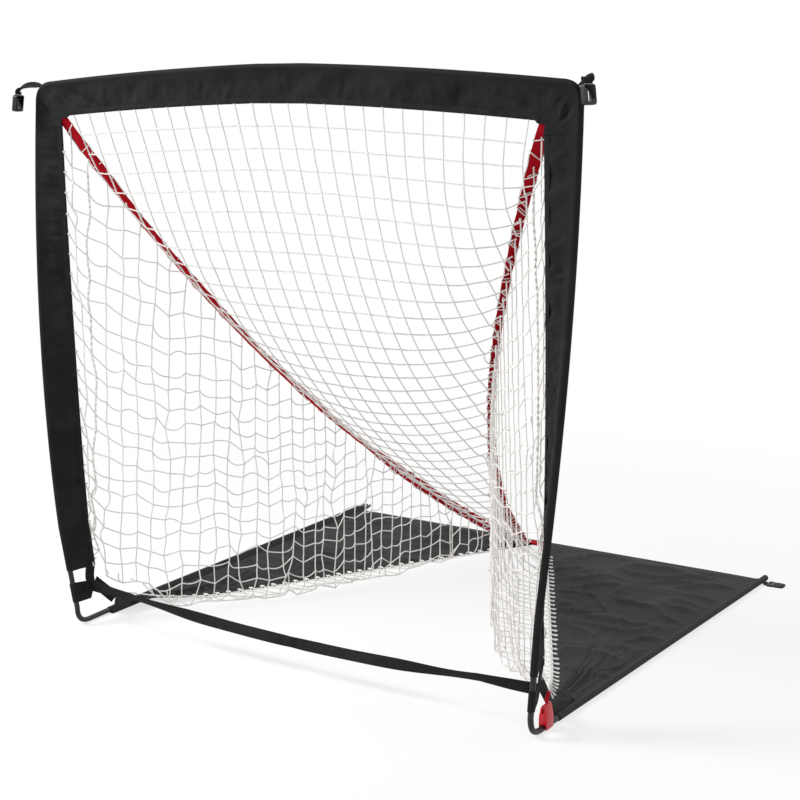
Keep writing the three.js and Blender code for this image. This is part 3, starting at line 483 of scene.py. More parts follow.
def new_group(name, inputs):
    """A group with these inputs and their values, and colour, roughness and height out."""
    tree = bpy.data.node_groups.new(name, "ShaderNodeTree")
    for title, value in inputs.items():
        kind = COLOUR if isinstance(value, tuple) else NUMBER
        tree.interface.new_socket(title, in_out="INPUT", socket_type=kind).default_value = value
    for title, kind in (("Colour", COLOUR), ("Roughness", NUMBER), ("Height", NUMBER)):
        tree.interface.new_socket(title, in_out="OUTPUT", socket_type=kind)
    return tree, add_node(tree, "NodeGroupInput").outputs


def finished_group(tree, colour, rough, height):
    add_node(tree, "NodeGroupOutput", {"Colour": colour, "Roughness": rough, "Height": height})
    return tree


def math_node(tree, operation, *values):
    return add_node(tree, "ShaderNodeMath", dict(enumerate(values)), operation=operation).outputs[0]


def times(tree, one, two):
    return math_node(tree, "MULTIPLY", one, two)


def plus(tree, one, two):
    return math_node(tree, "ADD", one, two)


def minus(tree, one, two):
    return math_node(tree, "SUBTRACT", one, two)


def mix_colour(tree, factor, one, two):
    return add_node(tree, "ShaderNodeMix", {0: factor, 6: one, 7: two}, data_type="RGBA").outputs[2]


def clamped(tree, value):
    return add_node(tree, "ShaderNodeClamp", {0: value}).outputs[0]


def noise(tree, scale, detail):
    """Noise in the object's own space."""
    place = add_node(tree, "ShaderNodeTexCoord").outputs["Object"]
    sockets = {"Vector": place, "Scale": scale, "Detail": detail}
    return add_node(tree, "ShaderNodeTexNoise", sockets).outputs["Fac"]


def uv_metres(tree):
    """Where a point is across and along its piece, from the UV map."""
    uv = add_node(tree, "ShaderNodeUVMap", uv_map="UVMap").outputs[0]
    split = add_node(tree, "ShaderNodeSeparateXYZ", {0: uv}).outputs
    return split[0], split[1]


COLOUR, NUMBER = "NodeSocketColor", "NodeSocketFloat"
TURN = 2 * math.pi
print("group helpers ready")

# %% [markdown]
# Cloth is an over and under of threads, so its height is a product of two waves along
# the UV map. Soft noise in the object's own space darkens and lightens it in patches,
# as handled polyester does, and a little dust gathers in the dips.

# %% Woven cloth and webbing groups


def woven_group(name, along, across, patch):
    inputs = {"Colour": (0.02, 0.02, 0.02, 1), "Dust Colour": (0.2, 0.2, 0.2, 1), "Dust": 0.05}
    tree, given = new_group(name, inputs)
    u, v = uv_metres(tree)
    u = math_node(tree, "SINE", times(tree, u, TURN / across))
    v = math_node(tree, "SINE", times(tree, v, TURN / along))
    weave = times(tree, u, v)
    wide = noise(tree, patch, 4)
    height = plus(tree, times(tree, weave, 0.5), noise(tree, 420, 2))
    light = clamped(tree, minus(tree, times(tree, wide, 2.2), 0.6))
    pale = mix_colour(tree, 0.5, given["Colour"], given["Dust Colour"])
    pale = mix_colour(tree, 0.12, given["Colour"], pale)
    tone = mix_colour(tree, light, given["Colour"], pale)
    dust = times(tree, given["Dust"], minus(tree, 1.0, weave))
    colour = mix_colour(tree, dust, tone, given["Dust Colour"])
    rough = plus(tree, times(tree, wide, 0.2), 0.68)
    return finished_group(tree, colour, rough, height)


cloth_group = woven_group("woven_cloth", 0.0011, 0.0011, 14)
webbing_group = woven_group("woven_webbing", 0.0030, 0.0021, 60)


def twisted_group():
    """Three strands laid round each other. The lay is the length of one turn."""
    inputs = {"Colour": (0.8, 0.8, 0.8, 1), "Painted Groove Shade": (0.5, 0.5, 0.5, 1), "Lay": 0.008}
    tree, given = new_group("twisted_cord", inputs)
    u, v = uv_metres(tree)
    run = math_node(tree, "DIVIDE", v, given["Lay"])
    turn = times(tree, u, 3.0)
    wave = math_node(tree, "SINE", times(tree, plus(tree, run, turn), TURN))
    strand = times(tree, plus(tree, wave, 1.0), 0.5)
    wide = noise(tree, 9, 3)
    height = plus(tree, strand, times(tree, noise(tree, 900, 2), 0.4))
    # Painted shade: the grooves between the strands are darkened towards a darker colour, and soft noise
    # adds a random tone on top.
    shade = times(tree, minus(tree, 1.0, strand), 0.55)
    shade = plus(tree, shade, times(tree, wide, 0.2))
    colour = mix_colour(tree, shade, given["Colour"], given["Painted Groove Shade"])
    rough = plus(tree, times(tree, wide, 0.15), 0.75)
    return finished_group(tree, colour, rough, height)


cord_group = twisted_group()


def hard_group():
    """Moulded plastic and painted steel: fine grain and soft scuffs."""
    inputs = {
        "Colour": (0.02, 0.02, 0.02, 1),
        "Scuff Colour": (0.1, 0.1, 0.1, 1),
        "Scuffs": 0.2,
        "Roughness": 0.4,
    }
    tree, given = new_group("hard_surface", inputs)
    patches = times(tree, minus(tree, noise(tree, 35, 5), 0.52), 6.0)
    scuff = times(tree, clamped(tree, patches), given["Scuffs"])
    colour = mix_colour(tree, scuff, given["Colour"], given["Scuff Colour"])
    rough = plus(tree, given["Roughness"], times(tree, scuff, 0.5))
    return finished_group(tree, colour, rough, noise(tree, 1400, 2))


hard_surface = hard_group()
print("shader groups:", [g.name for g in bpy.data.node_groups])

# %% [markdown]
# ## Materials
# Each material takes one group, sets its own colours and sends the group's height
# through a small bump. The black cloth is never pure black: polyester shows as a deep
# charcoal under soft light, and the wings are a shade paler than the sleeves.

# %% Build the materials
DUST_GREY, DUST_RED = (0.16, 0.16, 0.165), (0.45, 0.02, 0.04)
RED, CLIP_RED, CLIP_SCUFFED = (0.40, 0.0008, 0.008), (0.50, 0.001, 0.010), (0.55, 0.03, 0.05)
STEEL_BLACK, STEEL_SCUFFED = (0.009, 0.009, 0.0095), (0.06, 0.06, 0.06)
BUCKLE_BLACK, BUCKLE_SCUFFED = (0.010, 0.010, 0.0105), (0.05, 0.05, 0.05)


def material(name, group, relief, settings, coat=0.0, shine=0.5):
    """A material of one group. relief is the height of its bump in metres."""
    made = bpy.data.materials.new(name)
    made.use_nodes = True
    tree = made.node_tree
    values = {title: (*v, 1) if isinstance(v, tuple) else v for title, v in settings.items()}
    look = add_node(tree, "ShaderNodeGroup", values, node_tree=group).outputs
    bumps = {"Distance": relief, "Strength": 1.0, "Height": look["Height"]}
    shader = tree.nodes["Principled BSDF"]
    tree.links.new(add_node(tree, "ShaderNodeBump", bumps).outputs[0], shader.inputs["Normal"])
    tree.links.new(look["Colour"], shader.inputs["Base Color"])
    tree.links.new(look["Roughness"], shader.inputs["Roughness"])
    shader.inputs["Coat Weight"].default_value = coat
    shader.inputs["Specular IOR Level"].default_value = shine
    return made


def cloth(name, group, relief, colour, dust, shine, dust_colour=DUST_GREY):
    settings = {"Colour": colour, "Dust Colour": dust_colour, "Dust": dust}
    return material(name, group, relief, settings, shine=shine)


def cord(name, relief, colour, painted_groove_shade, lay):
    return material(name, cord_group, relief, {"Colour": colour, "Painted Groove Shade": painted_groove_shade, "Lay": lay})


def hard(name, relief, colour, scuffed, scuffs, rough, coat=0.0, shine=0.5):
    settings = {"Colour": colour, "Scuff Colour": scuffed, "Scuffs": scuffs, "Roughness": rough}
    return material(name, hard_surface, relief, settings, coat, shine)


sleeve_cloth = cloth("sleeve_cloth", cloth_group, 0.0001, (0.0048, 0.0048, 0.0052), 0.006, 0.12)
wing_cloth = cloth("wing_cloth", cloth_group, 0.0001, (0.017, 0.017, 0.0177), 0.012, 0.2)
black_webbing = cloth("black_webbing", webbing_group, 0.0003, (0.0045, 0.0045, 0.0048), 0.008, 0.14)
red_webbing = cloth("red_webbing", webbing_group, 0.0003, RED, 0.03, 0.12, DUST_RED)
# The second colour of each cord is painted shade, a darker colour for the grooves between its strands.
net_cord = cord("net_cord", 0.0003, (0.86, 0.84, 0.81), (0.62, 0.59, 0.56), 0.008)
lace_rope = cord("lace_rope", 0.0004, (0.9, 0.885, 0.86), (0.6, 0.58, 0.55), 0.010)
black_plastic = hard("black_plastic", 0.00002, BUCKLE_BLACK, BUCKLE_SCUFFED, 0.3, 0.42, 0, 0.35)
red_plastic = hard("red_plastic", 0.00001, CLIP_RED, CLIP_SCUFFED, 0.2, 0.28, 0.12, 0.4)
painted_steel = hard("painted_steel", 0.00003, STEEL_BLACK, STEEL_SCUFFED, 0.3, 0.40, 0.05, 0.3)
pole_plastic = hard("pole_plastic", 0.00002, (0.02, 0.02, 0.022), (0.08, 0.08, 0.08), 0.3, 0.45)
print(len(bpy.data.materials), "materials")

# %% [markdown]
# ## Tubes and poles
# The bent ground tubes show below the sleeves, and their shape is already right. They
# only need their satin black paint. The poles and elbows are inside the cloth.

# %% Paint the frame
FRAME_FINISHES = {
    "tube": (("tube", "elbow", "ferrule"), painted_steel),
    "pole": (("pole",), pole_plastic),
}
for node_name, node_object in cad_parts.items():
    for slot_name, (words, finish) in FRAME_FINISHES.items():
        if any(word in node_name for word in words):
            node_object.data.materials.clear()
            node_object.data.materials.append(finish)
print("frame painted")


def finish_piece(obj, body, slot_name, finish, *stands_for):
    obj.data.materials.clear()
    obj.data.materials.append(finish)
    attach(obj, body)
    if stands_for:
        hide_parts(*stands_for)


# %% [markdown]
# ## Sleeves
# Each sleeve is one strip of black cloth folded round the pole and sewn to itself, so
# it has a round pocket on the outside and a flat double layer towards the net. The
# uprights' flats turn towards the back as they come down, because the net pulls them.
# The loft follows stations from the foot to the mitre at the corner, and shallow
# creases are pressed into the flat part where the cloth is drawn.

# %% Loft the sleeves


def elbow_bend(side, share):
    share = np.asarray(share, float)[..., None]
    start = upright_axis(side, upright_share(CORNER_HEIGHT - ELBOW_REACH))
    corner = upright_axis(side, 1)
    end = crossbar_axis(side, 1 - ELBOW_REACH / TOP_HALF)
    return (1 - share) ** 2 * start + 2 * share * (1 - share) * corner + share**2 * end


POCKET = 0.008
POCKET_POINTS = 17
BELLY, TAPER, CLOTH_EDGE = 0.003, 0.026, 0.0013


def pocket_profile(width):
    """Across and off coordinates of a folded cloth round a pole, going once round it."""
    turn = np.radians(np.linspace(60, 300, POCKET_POINTS))
    around = np.stack([POCKET * np.cos(turn), POCKET * np.sin(turn)], -1)
    reach = np.linspace(POCKET * 0.5, width, 12)[1:]
    start = POCKET * math.sin(math.radians(60))
    narrowing = mix(start, BELLY, (reach - POCKET * 0.5) / (TAPER - POCKET * 0.5))
    closing = mix(BELLY, CLOTH_EDGE, (reach - TAPER) / max(width - TAPER, 1e-6))
    half = np.where(reach < TAPER, narrowing, closing)
    lower = np.stack([reach, -half], -1)
    upper = np.stack([reach[::-1], half[::-1]], -1)
    return np.concatenate([around, lower, upper])


CREASE_FROM, CREASE_RAMP = 0.006, 0.02
TAB_CLEAR, TAB_RAMP = 0.030, 0.02


def folded_cloth(name, poles, edges, normals, wall=0.0009, creases=None):
    """A hollow folded cloth through stations of pole points and inner edge points."""
    flat = edges - poles
    width = np.linalg.norm(flat, axis=1)
    flat = unit(flat)
    ahead = unit(np.gradient(poles, axis=0))
    stretch = 1 / np.sqrt(np.maximum(1 - (flat * ahead).sum(1) ** 2, 0.2))
    outer, inner = [], []
    for i in range(len(poles)):
        profile = pocket_profile(width[i])
        profile[:POCKET_POINTS, 0] *= stretch[i]
        tangent = unit(np.roll(profile, -1, 0) - np.roll(profile, 1, 0))
        out_way = np.stack([tangent[:, 1], -tangent[:, 0]], -1)
        outer.append(poles[i] + profile[:, :1] * flat[i] + profile[:, 1:] * normals[i])
        inside = profile - out_way * wall * np.sign((out_way * (profile - [POCKET, 0])).sum(1).sum())
        inner.append(poles[i] + inside[:, :1] * flat[i] + inside[:, 1:] * normals[i])
    outer, inner = np.array(outer), np.array(inner)
    if creases is not None:
        across = np.array([pocket_profile(w)[:, 0] for w in width])
        run = run_along(poles)
        push = creases(run[:, None], across) * np.clip((across - CREASE_FROM) / CREASE_RAMP, 0, 1)
        push *= np.clip(run / 0.004, 0, 1)[:, None] * np.clip((run[-1] - run) / 0.006, 0, 1)[:, None]
        for side in (-1, 1):
            from_tab = np.linalg.norm(outer - inner_corner(side), axis=2)
            push *= np.clip((from_tab - TAB_CLEAR) / TAB_RAMP, 0, 1)
        outer += push[..., None] * normals[:, None]
        inner += push[..., None] * normals[:, None]
    rows, columns = outer.shape[:2]
    count = rows * columns
    faces = grid_faces(rows, columns, wrap=True) + grid_faces(rows, columns, count, wrap=True, flip=True)
    for row in (0, rows - 1):
        for j in range(columns):
            a, b = row * columns + j, row * columns + (j + 1) % columns
            quad = (b, a, a + count, b + count)
            faces.append(quad if row == 0 else tuple(reversed(quad)))
    made = two_skins(name, outer, inner, faces, grid_lengths(outer), 60)
    perimeter = float(np.linalg.norm(outer - np.roll(outer, 1, 1), axis=2).sum(1).mean())
    return made, perimeter, run_length(poles)


FOLDS = 34
FOLD_DEPTH = 0.0044


def drawn_creases(seed, lines):
    """Soft folds across the cloth, and creases at chosen places, each given as
    (along, across, along, across, width, depth)."""
    rng = np.random.default_rng(seed)
    folds = []
    for _ in range(FOLDS):
        start, lean = rng.uniform(0, 1.4), rng.uniform(-0.035, 0.035)
        a0, a1 = rng.uniform(0.004, 0.030), rng.uniform(0.045, 0.078)
        width = rng.uniform(0.003, 0.008)
        folds.append((start, a0, start + lean, a1, width, rng.uniform(-1.0, 1.0) * FOLD_DEPTH))

    def height(run, across):
        spots = np.stack(np.broadcast_arrays(run, across), -1)
        total = 0.5 * FOLD_DEPTH * wrap_lines(spots * [1, 0.6], seed, 0.05)
        total = total + 0.25 * FOLD_DEPTH * wrap_lines(spots, seed + 7, 0.018)
        for r0, a0, r1, a1, width, depth in [*lines, *folds]:
            line = np.array([r1 - r0, a1 - a0])
            length = np.linalg.norm(line)
            t = np.clip(((run - r0) * line[0] + (across - a0) * line[1]) / length**2, 0, 1)
            away = np.hypot(run - r0 - t * line[0], across - a0 - t * line[1])
            ends = np.sin(math.pi * np.clip(t, 0.02, 0.98)) ** 0.5
            total = total + depth * np.exp(-((away / width) ** 2)) * ends
        return total

    return height


FAN = 0.020
FAN_END = 0.012
STRAIGHT_TOP = CORNER_HEIGHT - SLEEVE_FLAT - FAN
CLIMB_ROWS, BEND_ROWS = 18, 14


def upright_stations(side):
    height = np.linspace(FOOT_HEIGHT, STRAIGHT_TOP, 250)
    share = upright_share(height)
    angle = sleeve_twist(share)
    poles = upright_axis(side, share)
    edges = poles + sleeve_flat(share)[:, None] * inward(side, angle)
    normals = across_sleeve(side, angle)
    corner = inner_corner(side)
    more = np.linspace(0, 1, CLIMB_ROWS)[1:]
    climb = upright_axis(side, upright_share(mix(STRAIGHT_TOP, CORNER_HEIGHT - ELBOW_REACH, more)))
    climb_edge = corner - mix(FAN, FAN_END, more)[:, None] * UP
    climb_angle = sleeve_twist(upright_share(STRAIGHT_TOP)) * (1 - more)
    turn = np.linspace(0, 0.5, BEND_ROWS)[1:]
    bend = elbow_bend(side, turn)
    bend_edge = corner - mix(FAN_END, 0, turn * 2)[:, None] * UP
    poles = np.concatenate([poles, climb, bend])
    edges = np.concatenate([edges, climb_edge, bend_edge])
    normals = np.concatenate([normals, across_sleeve(side, climb_angle), np.tile(BACK, (len(bend), 1))])
    return poles, edges, normals


def crossbar_stations():
    straight = 1 - (SLEEVE_FLAT + FAN) / TOP_HALF
    halves = []
    for side in (-1, 1):
        share = np.linspace(0, straight, 120)
        poles = crossbar_axis(side, share)
        edges = poles - SLEEVE_FLAT * UP
        corner = inner_corner(side)
        more = np.linspace(0, 1, CLIMB_ROWS)[1:]
        climb = crossbar_axis(side, mix(straight, 1 - ELBOW_REACH / TOP_HALF, more))
        start = edges[-1]
        climb_edge = start + more[:, None] * (corner - vec(side * FAN_END, 0, 0) - start)
        turn = np.linspace(1, 0.5, BEND_ROWS)[1:]
        bend = elbow_bend(side, turn)
        bend_edge = corner - vec(side * mix(0, FAN_END, (turn - 0.5) * 2), 0, 0)
        half_edges = np.concatenate([edges, climb_edge, bend_edge])
        halves.append((np.concatenate([poles, climb, bend]), half_edges))
    poles = np.concatenate([halves[0][0][::-1], halves[1][0][1:]])
    edges = np.concatenate([halves[0][1][::-1], halves[1][1][1:]])
    return poles, edges, np.tile(BACK, (len(poles), 1))


corner_lines = [
    (1.07, 0.070, 1.20, 0.012, 0.006, -0.0060),
    (1.03, 0.074, 1.14, 0.030, 0.006, 0.0044),
    (1.10, 0.060, 1.13, 0.010, 0.005, 0.0036),
    (0.30, 0.050, 0.52, 0.020, 0.007, 0.0026),
    (0.62, 0.062, 0.80, 0.030, 0.006, -0.0026),
]
for name, side in SIDES.items():
    poles, edges, normals = upright_stations(side)
    creases = drawn_creases(11 + side, corner_lines)
    made, around, length = folded_cloth(f"sleeve_{name}", poles, edges, normals, creases=creases)
    finish_piece(made, "goal", "sleeve", sleeve_cloth, f"upright_sleeve_{name}")
    print(f"sleeve_{name}: {around:.3f} m round, {length:.3f} m long")

top_lines = [
    (0.03, 0.020, 0.12, 0.076, 0.006, -0.0058),
    (0.08, 0.012, 0.20, 0.070, 0.007, 0.0044),
    (1.20, 0.030, 1.34, 0.070, 0.007, 0.0048),
    (1.26, 0.016, 1.37, 0.074, 0.006, -0.0058),
    (0.40, 0.030, 0.46, 0.070, 0.008, 0.0012),
    (0.90, 0.060, 1.02, 0.030, 0.008, 0.0012),
]
poles, edges, normals = crossbar_stations()
creases = drawn_creases(5, top_lines)
made, around, length = folded_cloth("sleeve_top", poles, edges, normals, creases=creases)
finish_piece(made, "goal", "sleeve", sleeve_cloth, "crossbar_sleeve")
print(f"sleeve_top: {around:.3f} m round, {length:.3f} m long")

# %% [markdown]
# ## Edge binding
# The inner edge of every sleeve is bound with a narrow webbing folded over the two
# layers. The net hangs from it. It is a U in section, so it is lofted the same way.

# %% Bind the sleeve edges
BINDING_REACH, BINDING_LAP = 0.011, 0.0021
MITRE_ROWS = 18


def bind(name, stations, rows):
    """A narrow webbing folded over a sleeve's edge, along some rows of its stations."""
    poles, edges, normals = stations
    flats, edges, normals = unit(edges - poles)[rows], edges[rows], normals[rows]
    turn = np.radians(np.linspace(-90, 90, 7))
    reach, lap = BINDING_REACH, BINDING_LAP
    u = np.concatenate([[-reach], [-reach * 0.5], lap * 0.5 * np.cos(turn), [-reach * 0.5], [-reach]])
    w = np.concatenate([[-lap], [-lap], lap * np.sin(turn), [lap], [lap]])
    grid = edges[:, None] + u[None, :, None] * flats[:, None] + w[None, :, None] * normals[:, None]
    finish_piece(shell(name, grid, 0.0008), "goal", "webbing", black_webbing)


for name, side in SIDES.items():
    bind(f"binding_{name}", upright_stations(side), slice(0, -MITRE_ROWS))
bind("binding_top", crossbar_stations(), slice(MITRE_ROWS, -MITRE_ROWS))
print("sleeve edges bound")

# %% [markdown]
# ## Cuffs and gussets
# Below each sleeve a wide webbing loop sits round the steel tube. A gusset of the same
# webbing joins the sleeve's foot to the loop and narrows as it comes down.

# %% Cuffs and gussets


def foot_plane(side, height):
    share = upright_share(height)
    return upright_axis(side, share), inward(side, FOOT_TURN), across_sleeve(side, FOOT_TURN)


CUFF_LOW, CUFF_HIGH, CUFF_FLAT = 0.060, 0.103, 0.038
GUSSET_TOP = 0.1347
GUSSET_NEAR = (0.044, 0.0383)
CUFF_ROWS, GUSSET_ROWS = 30, 40

for name, side in SIDES.items():
    poles, flat, cross = foot_plane(side, np.linspace(CUFF_LOW, CUFF_HIGH, CUFF_ROWS))
    normals = np.tile(cross, (CUFF_ROWS, 1))
    made = folded_cloth(f"cuff_loop_{name}", poles, poles + CUFF_FLAT * flat, normals, wall=0.0011)[0]
    finish_piece(made, "goal", "webbing", black_webbing, f"cuff_{name}")
    poles, flat, cross = foot_plane(side, np.linspace(GUSSET_TOP, CUFF_LOW, GUSSET_ROWS))
    down = np.linspace(0, 1, GUSSET_ROWS)
    near = np.where(down < 0.06, GUSSET_NEAR[0], mix(*GUSSET_NEAR, np.clip(down / 0.3, 0, 1)))
    wide = np.interp(down, [0, 0.43, 0.68, 1], [0.026, 0.024, 0.018, 0.005])
    v = np.linspace(0, 1, 9)
    grid = poles[:, None] + flat * (near[:, None] + wide[:, None] * v)[..., None]
    ripple = 0.0012 * np.sin(math.pi * v)[None] * np.sin(3 * math.pi * down)[:, None]
    grid = grid + cross * ripple[..., None]
    made = shell(f"gusset_web_{name}", grid, 0.0015)
    finish_piece(made, "goal", "webbing", black_webbing, f"gusset_{name}")
print("cuffs and gussets made")

# %% [markdown]
# ## Ground wings
# A wing is one triangle of charcoal cloth. Its outer edge is folded round the base pole
# as a hem, its rear edge has a wide doubled band, and its front flap is lifted by a
# webbing. It lies on the ground, so its creases only rise. They fan out from the
# lifted flap, because that is where the cloth is pulled.

# %% Lay the wings
WING_ROWS, WING_COLUMNS = 200, 84
HEM_RADIUS = 0.0074
LAP_POINTS, HEM_POINTS = 5, 15
FAN_TIP = (0.600, 0.112)
FAN_CREASES = 17
HIGHEST_FOLD = 0.015


def wing_section(pole, edge):
    """Points across a wing: the hem's lap, round the base pole, and on to the inner edge."""
    shoulder = np.array([HEM_SHOULDER, 0.0006])
    along = unit(edge - shoulder)
    off = np.array([-along[1], along[0]])
    lap = min(0.012, 0.5 * np.linalg.norm(edge - shoulder))
    lap_run = np.linspace(lap, 0, LAP_POINTS)[:, None] * along + shoulder + off * 0.0013
    turn = np.radians(np.linspace(50, 270, HEM_POINTS))
    around = np.stack([HEM_RADIUS * np.cos(turn), HEM_HEIGHT + HEM_RADIUS * np.sin(turn)], -1)
    flat = shoulder + np.linspace(0, 1, WING_COLUMNS)[:, None] * (edge - shoulder)
    section = np.concatenate([lap_run, around, flat])
    return np.stack([pole - section[:, 0], section[:, 1]], -1)


def fan_of_creases(side, spots):
    """Creases that spread over the cloth from the lifted flap."""
    rng = np.random.default_rng(23 + side)
    gap = spots - [side * FAN_TIP[0], ARCH_Y + FAN_TIP[1]]
    distance = np.linalg.norm(gap, axis=-1)
    angle = np.arctan2(-side * gap[..., 0], gap[..., 1])
    fan = np.zeros(distance.shape)
    for _ in range(FAN_CREASES):
        centre, spread = rng.uniform(-0.02, 0.62), rng.uniform(0.007, 0.018)
        start, end = rng.uniform(0.02, 0.15), rng.uniform(0.35, 1.0)
        bend = rng.uniform(-0.12, 0.12)
        ray = np.exp(-(((angle - centre - bend * distance) / spread) ** 2))
        fade = np.clip((distance - start) / 0.1, 0, 1) * np.clip((end - distance) / 0.25, 0, 1)
        fan += rng.uniform(0.0020, 0.0055) * ray * fade
    return fan


def ridged_folds(side, spots):
    """Folds with narrow crests, as in cloth that has been packed away."""
    bent = spots + 0.035 * np.stack([wrap_lines(spots, 61, 0.3), wrap_lines(spots, 62, 0.3)], -1)
    folds = (1 - np.abs(wrap_lines(bent * [1.0, 2.4], 31 + side, 0.30))) ** 3
    small = (1 - np.abs(wrap_lines(bent * [1.3, 2.6], 35 + side, 0.13))) ** 2
    patches = 0.5 + 0.5 * wrap_lines(spots, 37, 0.5)
    return np.clip(0.0090 * np.clip(folds, 0, 1) + 0.0050 * np.clip(small, 0, 1) * patches, 0, 0.013)


def wing_grid(side):
    """The wing's cloth, and how much thicker it is along the band at its rear edge."""
    depth = np.linspace(0.1125, 1.2555, WING_ROWS)
    poles = base_axis(1, depth)[:, 0]
    reach, height = wing_edge(depth)
    rows = []
    for d, pole, near, high in zip(depth, poles, reach, height, strict=True):
        section = wing_section(pole, np.array([pole - near, high + 0.0006]))
        rows.append(vec(side * section[:, 0], ARCH_Y + d, section[:, 1]))
    grid = np.array(rows)
    column = np.arange(grid.shape[1])
    width = np.abs(grid[:, -1, 0] - grid[:, LAP_POINTS + HEM_POINTS + 2, 0])[:, None]
    from_edge = (grid.shape[1] - 1 - column)[None, :] / WING_COLUMNS * width
    inside = smooth((column - LAP_POINTS - HEM_POINTS) / 10)[None, :] * smooth(from_edge / 0.03)
    behind = grid[..., 1] - ARCH_Y
    before_rear = np.clip((1.252 - behind) / 0.05, 0, 1)
    folds = fan_of_creases(side, grid[..., :2]) + ridged_folds(side, grid[..., :2])
    grid[..., 2] += inside * before_rear * np.minimum(folds, HIGHEST_FOLD)
    seam = mix(1.172, 1.197, np.clip(np.abs(grid[..., 0]) / 0.65, 0, 1))
    band = np.clip((behind - seam) / 0.0015, 0, 1) * 0.0008 * inside
    return grid, band


for name, side in SIDES.items():
    grid, band = wing_grid(side)
    if grid_normals(grid)[WING_ROWS // 2, 50, 2] < 0:
        grid, band = grid[:, ::-1], band[:, ::-1]
    made = shell(f"wing_cloth_{name}", grid, 0.0010, band)
    finish_piece(made, "goal", "wing", wing_cloth, f"wing_{name}")

# %% [markdown]
# ## Black straps
# The goal line strap crosses the mouth a hand's breadth above the ground and twists
# once on its way. Short tabs run from the gussets back to the wings' flaps.

# %% Line strap and tabs
STRAP_HIGH, STRAP_LOW = 0.090, 0.071
STRAP_ROWS = 80


def strap_half(side):
    """One half of the line strap, from the middle to the gusset's inner face."""
    pole, flat, _ = foot_plane(side, STRAP_HIGH)
    leg_up = unit(upright_axis(side, LEG_SHARE) - upright_axis(side, 0.0))
    off = side * unit(np.cross(leg_up, flat))
    face = pole + flat * 0.047
    near, end = face + off * 0.01325, face + off * 0.00105
    share = np.linspace(0, 1, STRAP_ROWS)[:, None]
    x = near[0] * share
    height = mix(STRAP_LOW, STRAP_HIGH, np.minimum((x / 0.480) ** 2, 1))
    run = np.concatenate([x, mix(ARCH_Y + 0.036, near[1], share**8), height], axis=1)
    turn = math.radians(40) * np.sin(TURN * share[:, 0])
    hint = vec(0, np.sin(turn), np.cos(turn))
    hint = hint + share**8 * (leg_up - hint)
    return np.concatenate([run, [end]]), np.concatenate([hint, [leg_up]])


left_half, left_hint = strap_half(-1)
right_half, right_hint = strap_half(1)
strap_path = np.concatenate([left_half[1:][::-1], right_half])
strap_hint = np.concatenate([left_hint[1:][::-1], right_hint])
made = ribbon("line_strap_web", strap_path, strap_hint, 0.025, 0.0015, cup=0.0005)
finish_piece(made, "goal", "webbing", black_webbing, "line_strap")
print("goal line strap", round(run_length(strap_path), 3), "m long")

TAB_ROWS = 30

for name, side in SIDES.items():
    low_pole, flat, _ = foot_plane(side, 0.084)
    high_pole = foot_plane(side, 0.112)[0]
    low, high = low_pole + flat * 0.0570, high_pole + flat * 0.0652
    start = (low + high) / 2
    foot = by_edge(side, 0.112, 0.012, 0.00075)
    end = np.array([foot[0], ARCH_Y + 0.1117, 0.044])
    middle = (start + end) / 2 + np.array([0, 0.004, -0.004])
    path = smooth_path([start, middle, end], TAB_ROWS)
    lean = unit(high - low)
    way = mix(lean, np.array([0, 0, 1.0]), np.linspace(0, 1, TAB_ROWS)[:, None])
    made = ribbon(f"tab_web_{name}", path, way, 0.028, 0.0014, cup=0.0008)
    finish_piece(made, "goal", "webbing", black_webbing, f"wing_tab_{name}")
print("tabs made")

# %% [markdown]
# ## Ridge straps
# Two red webbings run from the top corners down to the apex behind the goal. They carry
# the net, so they hang in a curve, and they roll a little as the cords pull on them.
# Past the apex the left one turns along the right wing's rear hem.

# %% Red webbing
RIDGE_POINTS = 36
RIDGE_ROWS = 420
STRAP_WIDE, STRAP_THICK = 0.026, 0.0014
CURL_AT = (0, 0.06, 0.13, 0.2, 0.52, 0.66, 1)
CURLS = (0.3, 1.2, 2.5, 3.0, 3.0, 0.9, 0.5)


def ridge_path(side):
    """Points along a red strap: its sewn tab, the ridge and what lies past the apex."""
    tab = []
    for share in (1.0, 0.15):
        up_tab = unit(vec(side, 0, 0) + UP) * 0.022 * share
        tab.append(inner_corner(side) + up_tab + BACK * 0.004 * mix(0.85, 1, share))
    ridge = [ridge_line(side, k / RIDGE_POINTS) for k in range(1, RIDGE_POINTS + 1)]
    y = ARCH_Y
    if side < 0:
        tail = [
            (-0.0136, y + 1.1964, 0.0087),
            (-0.0034, y + 1.2105, 0.0034),
            (0.017, y + 1.219, 0.00245),
            (0.036, y + 1.219, 0.00245),
            (0.072, y + 1.219, 0.00245),
        ]
    else:
        tail = [(0.017, y + 1.2018, 0.0089), (0.017, y + 1.2187, 0.0047), (0.017, y + 1.236, 0.0047)]
    tail = [np.array(t) + [APEX_SIDE, 0, 0] for t in tail]
    return np.array([*tab, *ridge, *tail])


def squared(way, ahead):
    """What is left of a direction at right angles to the path."""
    return unit(way - (way * ahead).sum(1, keepdims=True) * ahead)


